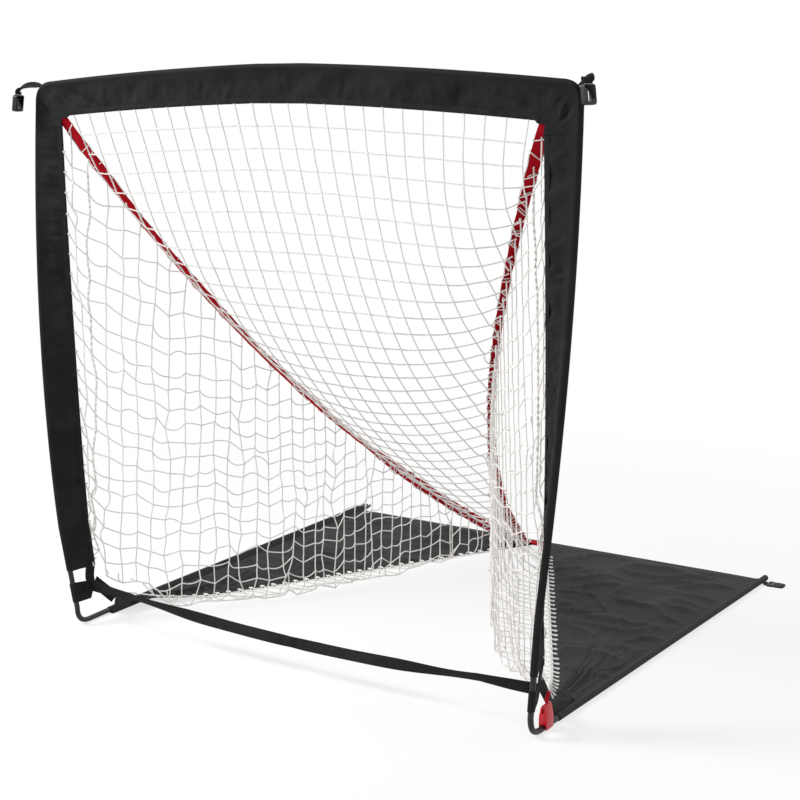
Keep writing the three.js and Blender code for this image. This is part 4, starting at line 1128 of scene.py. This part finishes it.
def ridge_ribbon(side, name):
    """A red strap, with its path, the way across it, its normal and its curl."""
    path = smooth_path(ridge_path(side), RIDGE_ROWS)
    ahead = unit(np.gradient(path, axis=0))
    share = np.linspace(0, 1, RIDGE_ROWS)
    side_way = np.tile([-side, 0.0, 0.0], (RIDGE_ROWS, 1))
    sewn = unit(np.array([-side, 0.0, 0.0]) + UP)
    top = np.clip(1 - share / 0.03, 0, 1)[:, None]
    side_way = side_way * (1 - top) + sewn * top
    if side < 0:
        low = np.clip((path[:, 1] - (ARCH_Y + 1.18)) / 0.03, 0, 1)[:, None]
        side_way = side_way * (1 - low) + np.stack([ahead[:, 1], -ahead[:, 0], 0 * share], -1) * low
    across = squared(side_way, ahead)
    hold = np.clip(share / 0.05, 0, 1) * np.clip((0.93 - share) / 0.06, 0, 1)
    slow, quick = np.sin(share * 5.2 + 0.4), np.sin(share * 31 + side)
    roll = (hold * (math.radians(24) * slow + math.radians(12) * quick))[:, None]
    across = across * np.cos(roll) + np.cross(across, ahead) * np.sin(roll)
    open_out = smooth((share - 0.56) / 0.14) * np.clip((0.945 - share) / 0.05, 0, 1) * 0.85
    facing = unit(np.cross(ahead, np.array(camera.location) - path))
    facing *= np.where((facing * across).sum(1, keepdims=True) < 0, -1.0, 1.0)
    across = unit(mix(across, facing, open_out[:, None]))
    pinch = 0.5 + 0.5 * np.sin(share * 33 * TURN)
    curl = hold * (np.interp(share, CURL_AT, CURLS) + 0.5 * pinch)
    made = ribbon(f"ridge_web_{name}", path, across, STRAP_WIDE, STRAP_THICK, cup=0.0006, curl=curl)
    finish_piece(made, "goal", "red_webbing", red_webbing, f"ridge_strap_{name}")
    print(f"ridge_web_{name}: {run_length(path):.3f} m long")
    return path, across, np.cross(across, ahead), curl


ridge_frames = {name: ridge_ribbon(side, name) for name, side in SIDES.items()}

# %% [markdown]
# ## Cords with geometry nodes
# One tree turns any drawing of edges into round twisted cords and puts a small knot on
# every marked point. The drawing is a plain mesh of edges. Keeping the tree separate
# means the nets, the border ropes and the loops all use the same cord.

# %% Cord tree
KNOT_SIZES = ((0.85, 0.75, 0.65), (1.25, 1.1, 0.95))


def kept(tree, geometry, title, value):
    """Keeps a value on the points of a geometry, and returns both."""
    node = tree.nodes.new("GeometryNodeCaptureAttribute")
    node.capture_items.new("FLOAT", title)
    tree.links.new(geometry, node.inputs["Geometry"])
    tree.links.new(value, node.inputs[title])
    return node.outputs["Geometry"], node.outputs[title]


def random_vector(tree, seed, low, high):
    sockets = {"Min": low, "Max": high, "Seed": seed}
    kind = "FunctionNodeRandomValue"
    return add_node(tree, kind, sockets, data_type="FLOAT_VECTOR").outputs["Value"]


def cord_tree():
    """Cords along the edges of a drawing, and a knot on each of its marked points."""
    tree = bpy.data.node_groups.new("cords_and_knots", "GeometryNodeTree")
    tree.is_modifier = True
    sockets = (
        ("Drawing", "Geometry", None),
        ("Cord Radius", "Float", 0.0014),
        ("Knot Radius", "Float", 0.0026),
        ("Cord Sides", "Int", 6),
        ("Knot Seed", "Int", 3),
        ("Finish", "Material", None),
    )
    for title, kind, value in sockets:
        socket = tree.interface.new_socket(title, in_out="INPUT", socket_type="NodeSocket" + kind)
        if value is not None:
            socket.default_value = value
    tree.interface.new_socket("Cords", in_out="OUTPUT", socket_type="NodeSocketGeometry")
    given = add_node(tree, "NodeGroupInput").outputs

    line = add_node(tree, "GeometryNodeMeshToCurve", {"Mesh": given["Drawing"]}).outputs[0]
    spot = add_node(tree, "GeometryNodeSplineParameter").outputs
    line, along = kept(tree, line, "Along", spot["Length"])
    round_it = {"Resolution": given["Cord Sides"], "Radius": given["Cord Radius"]}
    ring = add_node(tree, "GeometryNodeCurvePrimitiveCircle", round_it).outputs["Curve"]
    ring, around = kept(tree, ring, "Around", spot["Factor"])
    sweep = {"Curve": line, "Profile Curve": ring, "Fill Caps": True}
    cords = add_node(tree, "GeometryNodeCurveToMesh", sweep).outputs[0]
    uv = add_node(tree, "ShaderNodeCombineXYZ", {"X": around, "Y": along}).outputs[0]
    named = {"Geometry": cords, "Name": "UVMap", "Value": uv}
    settings = {"data_type": "FLOAT2", "domain": "CORNER"}
    cords = add_node(tree, "GeometryNodeStoreNamedAttribute", named, **settings).outputs[0]

    mark = add_node(tree, "GeometryNodeInputNamedAttribute", {"Name": "knot"}, data_type="FLOAT")
    test = {"A": mark.outputs["Attribute"], "B": 0.5}
    settings = {"data_type": "FLOAT", "operation": "GREATER_THAN"}
    marked = add_node(tree, "FunctionNodeCompare", test, **settings).outputs["Result"]
    chosen = {"Mesh": given["Drawing"], "Selection": marked}
    points = add_node(tree, "GeometryNodeMeshToPoints", chosen).outputs["Points"]
    sphere = {"Segments": 8, "Rings": 5, "Radius": given["Knot Radius"]}
    put = {
        "Points": points,
        "Instance": add_node(tree, "GeometryNodeMeshUVSphere", sphere).outputs["Mesh"],
        "Rotation": random_vector(tree, given["Knot Seed"], (0, 0, 0), (6.28, 6.28, 6.28)),
        "Scale": random_vector(tree, given["Knot Seed"], *KNOT_SIZES),
    }
    knots = add_node(tree, "GeometryNodeInstanceOnPoints", put).outputs[0]
    knots = add_node(tree, "GeometryNodeRealizeInstances", {"Geometry": knots}).outputs[0]

    join = add_node(tree, "GeometryNodeJoinGeometry")
    tree.links.new(cords, join.inputs[0])
    tree.links.new(knots, join.inputs[0])
    soft = add_node(tree, "GeometryNodeSetShadeSmooth", {"Geometry": join.outputs[0]}).outputs[0]
    finish = {"Geometry": soft, "Material": given["Finish"]}
    done = add_node(tree, "GeometryNodeSetMaterial", finish).outputs[0]
    add_node(tree, "NodeGroupOutput", {"Cords": done})
    return tree


cords_tree = cord_tree()


def cords_from(name, points, edges, knots, radius=0.0014, seed=3):
    """A plain mesh of cords along a drawing of edges."""
    mesh = bpy.data.meshes.new(name + "_drawing")
    mesh.from_pydata([tuple(p) for p in points], [tuple(int(i) for i in e) for e in edges], [])
    mark = mesh.attributes.new("knot", "FLOAT", "POINT")
    mark.data.foreach_set("value", np.asarray(knots, np.float32))
    drawing = bpy.data.objects.new(name + "_drawing", mesh)
    scene.collection.objects.link(drawing)
    modifier = drawing.modifiers.new("cords", "NODES")
    modifier.node_group = cords_tree
    values = {"Cord Radius": radius, "Knot Seed": seed, "Finish": net_cord}
    for item in cords_tree.interface.items_tree:
        if item.in_out == "INPUT" and item.name in values:
            modifier[item.identifier] = values[item.name]
    graph = bpy.context.evaluated_depsgraph_get()
    made_mesh = bpy.data.meshes.new_from_object(drawing.evaluated_get(graph))
    made_mesh.name = name
    made = bpy.data.objects.new(name, made_mesh)
    scene.collection.objects.link(made)
    bpy.data.objects.remove(drawing)
    return made


print("cord tree has", len(cords_tree.nodes), "nodes")

# %% [markdown]
# ## The net
# The net is knotted in squares of 47 millimetres. It is a little too big for the frame,
# so it hangs slack. Each panel starts as columns from a border to the ridge, with a
# node at every mesh. Then gravity pulls the nodes down, while each cord only
# refuses to stretch, and the floor stops what reaches it. The same numbers give the
# same net every time.

# %% Net panels
MESH = 0.047


def columns_to_lattice(columns, pitch):
    """Nodes at every mesh along each column, and rows between neighbouring columns."""
    points, fixed, links, index = [], [], [], []
    lengths = [run_length(c) for c in columns]
    for column, length in zip(columns, lengths, strict=True):
        at = np.append(np.arange(0, length - pitch * 0.35, pitch), length)
        first = len(points)
        points.extend(values_at(at, run_along(column), column))
        fixed.extend([j in (0, len(at) - 1) for j in range(len(at))])
        index.append(list(range(first, first + len(at))))
        links.extend([(first + j, first + j + 1) for j in range(len(at) - 1)])
    for a in range(len(columns) - 1):
        one, two = index[a], index[a + 1]
        shared = min(len(one), len(two)) - 1
        links.extend([(one[j], two[j]) for j in range(1, shared)])
        longer, lone, ltwo = (one, a, a + 1) if len(one) > len(two) else (two, a + 1, a)
        for j in range(shared, len(longer) - 1):
            drop = lengths[lone] - lengths[ltwo]
            share = np.clip((lengths[lone] - j * pitch) / drop, 0, 1) if drop > 1e-6 else 0
            end_one, end_two = np.array(columns[lone][-1]), np.array(columns[ltwo][-1])
            points.append(end_one + share * (end_two - end_one))
            fixed.append(True)
            links.append((longer[j], len(points) - 1))
    return np.array(points), np.array(fixed), links


ROUNDS, PULLS = 420, 10
DAMPING, TOP_SPEED = 0.96, 0.004
GRAVITY_STEP = np.array([0, 0, -0.00016])
NODE_FLOOR, CORD_FLOOR = 0.0030, 0.0026
SHORT_CORD = 0.018


def relax(points, fixed, links, slack, mesh=0.0):
    """Lets the free nodes sink while no cord grows past its length. mesh is the least
    length of a cord, but the short ones at the borders keep their own."""
    p = points.copy()
    free = ~fixed
    i = np.array([k[0] for k in links])
    j = np.array([k[1] for k in links])
    span = np.linalg.norm(p[j] - p[i], axis=1)
    rest = np.maximum(span * slack, 0.002)
    rest = np.where(span > SHORT_CORD, np.maximum(rest, mesh), rest)
    count = np.bincount(i, minlength=len(p)) + np.bincount(j, minlength=len(p))
    speed = np.zeros_like(p)
    for _ in range(ROUNDS):
        before = p.copy()
        p[free] += DAMPING * speed[free] + GRAVITY_STEP
        for _ in range(PULLS):
            d = p[j] - p[i]
            length = np.maximum(np.linalg.norm(d, axis=1), 1e-9)
            over = (np.maximum(length - rest, 0) / length * 0.5)[:, None] * d
            pulls = [np.bincount(i, o, len(p)) - np.bincount(j, o, len(p)) for o in over.T]
            move = np.stack(pulls, -1)
            p[free] += 1.5 * (move / np.maximum(count, 1)[:, None] * 2)[free] * 0.66
        p[free, 2] = np.maximum(p[free, 2], NODE_FLOOR)
        speed = np.clip(p - before, -TOP_SPEED, TOP_SPEED)
    return p, rest


PARTS = 4


def draw_cords(points, links, rest, seed):
    """Edges that sag where a cord is longer than the gap it spans."""
    rng = np.random.default_rng(seed)
    drawn = [tuple(p) for p in points]
    edges = []
    for (a, b), length in zip(links, rest, strict=True):
        start, end = points[a], points[b]
        span = float(np.linalg.norm(end - start))
        if span < 1e-5:
            continue
        ahead = (end - start) / span
        loose = max(length - span, 0)
        depth = min(math.sqrt(0.375 * length * loose), 0.20 * span) + rng.uniform(0.0002, 0.0012)
        side = rng.normal(size=3) * 0.9 + np.array([0, 0, -0.7])
        side = side - side.dot(ahead) * ahead
        side /= np.linalg.norm(side)
        last = a
        for k in range(1, PARTS):
            t = k / PARTS
            spot = start + (end - start) * t + side * depth * bump(t)
            spot[2] = max(spot[2], CORD_FLOOR)
            drawn.append(tuple(spot))
            edges.append((last, len(drawn) - 1))
            last = len(drawn) - 1
        edges.append((last, b))
    knots = np.zeros(len(drawn))
    knots[: len(points)] = 1.0
    return np.array(drawn), edges, knots


print("mesh of", MESH * 1000, "mm")

# %% [markdown]
# The back net hangs from the crossbar's binding. Its columns keep their place across
# the goal and end on the red straps, so the outer ones are short and the middle one
# reaches the apex. The side nets rise from the wings' edges to the same straps.

# %% Shape the three panels


def ridge_at(side, test):
    """Share along a ridge where a rising measure of the point passes each value."""
    shares = np.linspace(0, 1, 400)
    measure = test(ridge_line(side, shares))
    return lambda value: np.interp(value, measure, shares)


BACK_NARROWS = 0.925
BACK_SAG = 0.150
SIDE_BAGS = {"left": 0.095, "right": 0.185}
BELOW_RIDGE = np.array([0, 0, 0.003])


def back_columns():
    """Columns of the back net, from the crossbar's binding to the red straps."""
    columns = []
    inside = unit(np.array([0, -0.108, -0.084]))
    left_end, right_end = ridge_line(-1, 1.0), ridge_line(1, 1.0)
    for x in np.arange(-12.5, 13) * MESH:
        side = 1 if x >= 0 else -1
        bar = crossbar_axis(side, abs(x) / TOP_HALF) - (SLEEVE_FLAT + 0.001) * UP
        drawn_x = x * BACK_NARROWS
        if drawn_x < left_end[0]:
            end = ridge_line(-1, ridge_at(-1, lambda p: p[:, 0])(drawn_x))
        elif drawn_x > right_end[0]:
            end = ridge_line(1, ridge_at(1, lambda p: -p[:, 0])(-drawn_x))
        else:
            share = (drawn_x - left_end[0]) / (right_end[0] - left_end[0])
            end = mix(left_end, right_end, share)
        end = end - BELOW_RIDGE
        t = np.linspace(0, 1, 60)[:, None]
        length = np.linalg.norm(end - bar)
        line = bar + (end - bar) * t + inside * BACK_SAG * bump(t) * length / 1.68
        settle = (1 - np.exp(-t * length / 0.10)) / (1 - math.exp(-length / 0.10)) - t
        line[:, 0] += (drawn_x - x) * settle[:, 0]
        columns.append(line)
    return columns


NET_FLOOR, NET_FOOT = 0.0035, 0.150
NET_TOP = 1.19
FIRST_COLUMN, COLUMNS, GATHER = 0.034, 39, 0.60
EDGE_GAP = 0.016
NET_REACH, NET_LIFT = -0.012, 0.0028
STILL_GATHERED = 0.26


def side_panel(side, bag, seed):
    """Nodes and cords of a side net: upright columns, and rows that droop to the rear."""
    rng = np.random.default_rng(seed)
    deep = ridge_at(side, lambda p: p[:, 1])
    depths = np.append(0, FIRST_COLUMN + np.arange(COLUMNS) * MESH * GATHER)

    def column(depth):
        low = by_edge(side, max(depth, STILL_GATHERED), NET_REACH, NET_LIFT)
        if depth < STILL_GATHERED:
            pole, flat, _ = foot_plane(side, 0.145)
            foot = pole + flat * (FOOT_FLAT + 0.004)
            low = mix(foot, low, (depth - 0.05) / 0.21)
        low[1] = ARCH_Y + depth if depth >= 0.06 else low[1]
        return low, ridge_line(side, deep(ARCH_Y + depth)) - BELOW_RIDGE

    def place(depth, low, high, z):
        t = np.clip((z - low[2]) / (high[2] - low[2]), 0, 1)
        spread = smooth((depth - 0.07) / 0.40) * np.clip((1.14 - depth) / 0.44, 0, 1)
        rise = np.clip((z + 0.010) / 0.30, 0, 1) ** 0.8
        fade = np.clip((high[2] - z) / max(high[2] - 0.16, 0.03), 0, 1)
        spot = mix(low, high, t)
        spot[0] -= side * bag * spread * rise * fade
        spot[1] += 0.02 * math.sin(math.pi * t) * spread
        spot[2] = max(z, NET_FLOOR)
        return spot

    def level(row, depth):
        z = NET_FOOT + row * MESH
        droop = 0.30 * (1 - math.exp(-depth / 0.35)) * smooth(z / 0.9)
        return z - droop

    points, fixed, links, grid = [], [], [], {}
    rows = range(-3, 22)
    for i, depth in enumerate(depths):
        if i == 0:
            for row in rows:
                z = NET_FOOT + row * MESH
                if row < 0 or z > NET_TOP:
                    continue
                share = upright_share(z)
                angle = sleeve_twist(share)
                reach = sleeve_flat(share) + 0.002
                grid[i, row] = len(points)
                points.append(upright_axis(side, share) + reach * inward(side, angle))
                fixed.append(True)
            continue
        low, high = column(depth)
        if high[2] - low[2] < 0.03:
            break
        last = len(points)
        points.append(low)
        fixed.append(True)
        for row in rows:
            z = level(row, depth)
            if z < low[2] + EDGE_GAP or z > high[2] - EDGE_GAP:
                continue
            grid[i, row] = len(points)
            points.append(place(depth, low, high, z))
            fixed.append(False)
            links.append((last, grid[i, row]))
            last = grid[i, row]
        points.append(high)
        fixed.append(True)
        links.append((last, len(points) - 1))
    count = i
    for row in rows:
        for i in range(count):
            if (i, row) in grid and (i + 1, row) in grid:
                links.append((grid[i, row], grid[i + 1, row]))
            elif (i, row) in grid and i > 0:
                near, far = depths[i], depths[min(i + 1, len(depths) - 1)]
                tries = np.linspace(near, far, 12)
                gaps = [column(d)[1][2] - level(row, d) for d in tries]
                ends = [d for d, gap in zip(tries, gaps, strict=True) if gap <= 0.0]
                if ends and level(row, near) > 0.05:
                    points.append(ridge_line(side, deep(ARCH_Y + ends[0])) - BELOW_RIDGE)
                    fixed.append(True)
                    links.append((grid[i, row], len(points) - 1))
    points = np.array(points)
    loose = ~np.array(fixed)
    points[loose] += rng.normal(0, 0.0062, (int(loose.sum()), 3)) * [1, 1, 0.8]
    points[:, 2] = np.maximum(points[:, 2], 0.0025)
    border, ties = ([grid[k] for k in sorted(grid) if k[0] == column_at] for column_at in (2, 0))
    return points, np.array(fixed), links, border, ties


net_points = {}
points, fixed, links = columns_to_lattice(back_columns(), MESH)
settled, rest = relax(points, fixed, links, 1.008)
drawn, edges, knots = draw_cords(settled, links, rest, 41)
made = cords_from("net_panel_back", drawn, edges, knots, radius=0.0016)
finish_piece(made, "goal", "net", net_cord, "net_back")
print("back net:", len(links), "cords,", len(made.data.polygons), "faces")

for name, side in SIDES.items():
    points, fixed, links, border, ties = side_panel(side, SIDE_BAGS[name], 71 + side)
    settled, rest = relax(points, fixed, links, 1.012, mesh=0.034)
    net_points[name] = (settled, border, ties)
    drawn, edges, knots = draw_cords(settled, links, rest, 51 + side)
    made = cords_from(f"net_panel_{name}", drawn, edges, knots, radius=0.0015, seed=5 + side)
    finish_piece(made, "goal", "net", net_cord, f"net_side_{name}")
    print(f"side net {name}:", len(links), "cords,", len(made.data.polygons), "faces")

# %% [markdown]
# Where the nets meet a red strap, one cord winds round the strap and takes a mesh of
# each net at every turn. It is drawn as a loop at each mesh and a running cord that
# crosses from one edge to the other between two loops. Beside each upright a doubled
# border cord hangs from short ties.

# %% Border cords


def drawing_of(lines):
    """One drawing of edges through several lines of points."""
    spots, edges = [], []
    for line in lines:
        first = len(spots)
        spots.extend([tuple(p) for p in line])
        edges.extend([(first + k, first + k + 1) for k in range(len(line) - 1)])
    return spots, edges


OVER_STRAP, LOOSE_FLOOR = 0.0018, 0.0022
LOOPS_A_SIDE = 8
ROPE_ROWS, ROPE_TURNS = 120, 34


def strap_lacing(name, seed):
    """The cord that winds round a red strap, as loops and the runs between them."""
    path, across, normal, curl = ridge_frames[name]
    rng = np.random.default_rng(seed)
    run = run_along(path)
    half = (STRAP_WIDE / 2 * np.sinc(curl / 2 / math.pi) + 0.0022)[:, None]
    sight = np.array(camera.location) - path
    front = np.where((normal * sight).sum(1, keepdims=True) > 0, 1.0, -1.0) * normal

    def at(where, share, off):
        base, a, f, w = (values_at(where, run, q) for q in (path, across, front, half))
        return base + a * (w * np.asarray(share)[..., None]) + f * np.asarray(off)[..., None]

    lines = []
    stops = np.arange(0.055, run[-1] - 0.085, MESH)
    stops = stops + rng.uniform(-0.006, 0.006, len(stops))
    turn = np.linspace(0, TURN, 15)
    for stop in stops:
        tilt = rng.uniform(-0.012, 0.012)
        where = stop + tilt * np.cos(turn)
        lines.append(at(where, np.cos(turn), 0.0045 * np.sin(turn)))
    for k in range(len(stops) - 1):
        t = np.linspace(0, 1, 9)
        where = mix(stops[k], stops[k + 1], t)
        way = 1 if k % 2 else -1
        if rng.uniform() < 0.55:
            lines.append(at(where, way * np.cos(math.pi * smooth(t * 1.3 - 0.15)), 0.004 + 0 * t))
        else:
            lines.append(at(where, way * (1 - 0.12 * bump(t)), 0.001 * np.sin(math.pi * t)))
    for line in lines:
        line[:, 2] = np.maximum(line[:, 2], OVER_STRAP)
    return drawing_of(lines)


def apex_bundle(seed):
    """Gathered cords round the meeting straps, as loose loops."""
    rng = np.random.default_rng(seed)
    lines = []
    for name in SIDES:
        path, across, *_ = ridge_frames[name]
        run = run_along(path)
        last = int(np.argmin(np.abs(path[:, 1] - (ARCH_Y + 1.19))))
        first = int(np.argmin(np.abs(run - (run[last] - 0.17))))
        for _ in range(LOOPS_A_SIDE):
            k = int(rng.integers(first, last))
            turn = np.linspace(0, TURN, 13)[:, None] + rng.uniform(0, TURN)
            tall, wide = rng.uniform(0.004, 0.010), rng.uniform(0.012, 0.019)
            way = unit(across[k] + rng.normal(0, 0.35, 3))
            other = unit(np.cross(way, rng.normal(0, 1, 3)))
            loop = path[k] + way * wide * np.cos(turn) + other * tall * np.sin(turn)
            loop[:, 2] = np.maximum(loop[:, 2], LOOSE_FLOOR)
            lines.append(loop)
    return drawing_of(lines)


spots, edges = apex_bundle(17)
marks = np.zeros(len(spots))
marks[::11] = 1.0
made = cords_from("apex_wraps", spots, edges, marks)
finish_piece(made, "goal", "net", net_cord)

for k, (name, side) in enumerate(SIDES.items()):
    spots, edges = strap_lacing(name, 91 + k)
    made = cords_from(f"strap_lacing_{name}", spots, edges, np.zeros(len(spots)), radius=0.0013)
    finish_piece(made, "goal", "net", net_cord)
    settled, border, ties = net_points[name]
    rope = smooth_path(settled[border], ROPE_ROWS)
    twist = np.linspace(0, ROPE_TURNS * TURN, ROPE_ROWS)
    beside = 0.0021 * np.stack([np.cos(twist), np.sin(twist), 0 * twist], -1)
    lines = [rope + beside, rope - beside]
    poles, edge_points, normals = upright_stations(side)
    for tie in settled[ties]:
        nearest = int(np.argmin(np.linalg.norm(edge_points - tie, axis=1)))
        flat = unit(edge_points[nearest] - poles[nearest])
        turn = np.linspace(0, TURN, 12)[:, None]
        middle = edge_points[nearest] + flat * 0.0035
        lines.append(middle + flat * 0.0035 * np.cos(turn) + normals[nearest] * 0.003 * np.sin(turn))
    spots, edges = drawing_of(lines)
    made = cords_from(f"border_cords_{name}", spots, edges, np.zeros(len(spots)), radius=0.0012)
    finish_piece(made, "goal", "net", net_cord)
print("border cords made")

# %% [markdown]
# ## Lacing
# A white rope laces each side net to the wing. It runs along the edge and reaches onto
# the cloth in narrow loops, like a blanket stitch.

# %% Lace the nets to the wings
ROPE_SIDES = 8
ROPE_RADIUS = 0.0018


def round_rope(name, path):
    """A closed round rope along a line of points."""
    path = np.asarray(path, float)
    ahead = unit(np.gradient(path, axis=0))
    side = np.zeros_like(path)
    side[0] = unit(np.cross(ahead[0], [0.31, 0.17, 0.93]))
    for i in range(1, len(path)):
        step = side[i - 1] - side[i - 1].dot(ahead[i]) * ahead[i]
        side[i] = step / max(np.linalg.norm(step), 1e-9)
    other = np.cross(ahead, side)
    turn = np.arange(ROPE_SIDES) * TURN / ROPE_SIDES
    ring = np.cos(turn)[None, :, None] * side[:, None] + np.sin(turn)[None, :, None] * other[:, None]
    grid = path[:, None] + ROPE_RADIUS * ring
    rows = len(path)
    faces = grid_faces(rows, ROPE_SIDES, wrap=True)
    faces.append(tuple(reversed(range(ROPE_SIDES))))
    faces.append(tuple((rows - 1) * ROPE_SIDES + j for j in range(ROPE_SIDES)))
    uv = np.stack(np.broadcast_arrays(turn[None] / TURN, run_along(path)[:, None]), -1)
    return make_mesh(name, grid, faces, uv, 80)


LACING_TURNS = 36
LACING_FROM, LACING_TO = 0.126, 1.130
LACING_LEAN = 22.0


def lacing_path(side):
    """A rope over and over the wing's edge: out on the cloth, round and back, then on."""
    turn_of_rope = (
        (0.00, -0.0055, 0.0030),
        (0.38, -0.0058, 0.0030),
        (0.46, -0.0010, 0.0052),
        (0.47, 0.0070, 0.0036),
        (0.44, 0.0100, 0.0033),
        (0.36, 0.0120, 0.0033),
        (0.40, 0.0145, 0.0033),
        (0.51, 0.0145, 0.0033),
        (0.61, 0.0105, 0.0033),
        (0.63, 0.0070, 0.0036),
        (0.62, -0.0010, 0.0052),
        (0.70, -0.0055, 0.0030),
    )
    control = []
    pitch = (LACING_TO - LACING_FROM) / LACING_TURNS
    for k in range(LACING_TURNS):
        start = LACING_FROM + k * pitch
        for at, onto, off in turn_of_rope:
            depth = start + (at + LACING_LEAN * onto) * pitch
            control.append(by_edge(side, depth, onto, off))
    return smooth_path(control, LACING_TURNS * 30)


for name, side in SIDES.items():
    made = round_rope(f"lacing_rope_{name}", lacing_path(side))
    finish_piece(made, "goal", "rope", lace_rope, f"lacing_{name}")
    print(f"lacing_rope_{name}: {run_length(lacing_path(side)):.2f} m of rope")

# %% [markdown]
# ## Buckles and clip
# The moulded parts are already the right shape, but their edges are knife sharp. A
# merged copy of each gets small rounded edges, as a mould gives them.

# %% Rounded copies of the moulded parts


def rounded_copy(node_name, name, width):
    """A merged copy of a node's shape, with its edges rounded over this width."""
    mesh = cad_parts[node_name].data.copy()
    mesh.name = name
    made = bpy.data.objects.new(name, mesh)
    scene.collection.objects.link(made)
    work = bmesh.new()
    work.from_mesh(mesh)
    bmesh.ops.remove_doubles(work, verts=work.verts, dist=1e-6)
    bmesh.ops.dissolve_limit(work, angle_limit=math.radians(2), verts=work.verts, edges=work.edges)
    work.to_mesh(mesh)
    work.free()
    modifier = made.modifiers.new("round", "BEVEL")
    modifier.width = width
    modifier.segments = 3
    modifier.limit_method = "ANGLE"
    modifier.angle_limit = math.radians(30)
    graph = bpy.context.evaluated_depsgraph_get()
    done = bpy.data.meshes.new_from_object(made.evaluated_get(graph))
    made.modifiers.clear()
    made.data = done
    done.shade_smooth()
    done.set_sharp_from_angle(angle=math.radians(35))
    return made


for name in SIDES:
    made = rounded_copy(f"top_buckle_{name}", f"socket_{name}", 0.0012)
    finish_piece(made, f"top_{name}", "buckle", black_plastic, f"top_buckle_{name}")
    made = rounded_copy(f"rear_buckle_{name}", f"plug_{name}", 0.0010)
    finish_piece(made, f"rear_{name}", "buckle", black_plastic, f"rear_buckle_{name}")
made = rounded_copy("net_clip", "clip_moulding", 0.0012)
finish_piece(made, "clip", "clip", red_plastic, "net_clip")
print("buckles and clip rounded")

# %% [markdown]
# ## Short straps
# The webbings of the buckles are short and stiff, and they keep the twist they were
# sewn with.

# %% Buckle straps and clip strap
SOCKET_BARS = {"left": (0.722, -0.019, 1.263), "right": (0.722, -0.008, 1.283)}
REAR_ROOTS = {
    "left": np.array([-BASE_REAR_HALF, ARCH_Y + BASE_DEPTH + 0.001412, 0.0015]),
    "right": np.array([0.661, ARCH_Y + 1.224, 0.005]),
}
REAR_WAYS = {"left": (-0.2, 1.0, 0.0), "right": (1.0, 0.025, 0.0)}
REAR_RUN, REAR_LOW = 0.011, 0.0015


def bezier(points, count):
    """Points along the curve that four control points draw."""
    a, b, c, d = (np.asarray(p, float) for p in points)
    t = np.linspace(0, 1, count)[:, None]
    return (1 - t) ** 3 * a + 3 * (1 - t) ** 2 * t * b + 3 * (1 - t) * t**2 * c + t**3 * d


for name, side in SIDES.items():
    out, front, high = SOCKET_BARS[name]
    end = np.array([side * out, ARCH_Y + front, high + 0.0043 / math.cos(math.radians(8))])
    drop = end + [0, 0, 0.005]
    root = np.array([side * (TOP_HALF - 0.00195), ARCH_Y + 0.020, CORNER_HEIGHT - 0.00195])
    path = bezier([root, root + np.array([side, 0, 1]) * 0.013, drop + [0, 0, 0.013], drop], 60)
    path = np.concatenate([path, mix(drop, end, np.linspace(0.25, 1, 4)[:, None])])
    share = np.linspace(0, 1, len(path))
    widths = vec(side * 0.25 * share, 1, 0.5 * bump(share))
    made = ribbon(f"top_web_{name}", path, widths, 0.025, 0.0014, curl=0.9 * bump(share))
    finish_piece(made, "goal", "webbing", black_webbing, f"top_strap_{name}")

for name, root in REAR_ROOTS.items():
    ahead = unit(np.array(REAR_WAYS[name]))
    far = root + ahead * REAR_RUN
    far[2] = REAR_LOW
    middle = (root + far) / 2
    middle[2] = mix(root[2], far[2], 0.8)
    path = smooth_path([root, middle, far], 30)
    made = ribbon(f"rear_web_{name}", path, (ahead[1], -ahead[0], 0), 0.025, 0.0014)
    finish_piece(made, f"rear_{name}", "webbing", black_webbing, f"rear_strap_{name}")

clip_low, clip_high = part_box("net_clip")
clip_top = np.array([(clip_low[0] + clip_high[0]) / 2, clip_low[1] + 0.0155, 0.0575])
clip_end = np.array([GROUND_HALF - 0.009, ARCH_Y + 0.096, 0.068])
path = smooth_path([clip_top, mix(clip_top, clip_end, 0.2) + np.array([0, 0, 0.003]), clip_end], 24)
made = ribbon("clip_web", path, (0.4, 1, 0), 0.008, 0.002)
finish_piece(made, "clip", "red_webbing", red_webbing, "clip_strap")
print("short straps made")
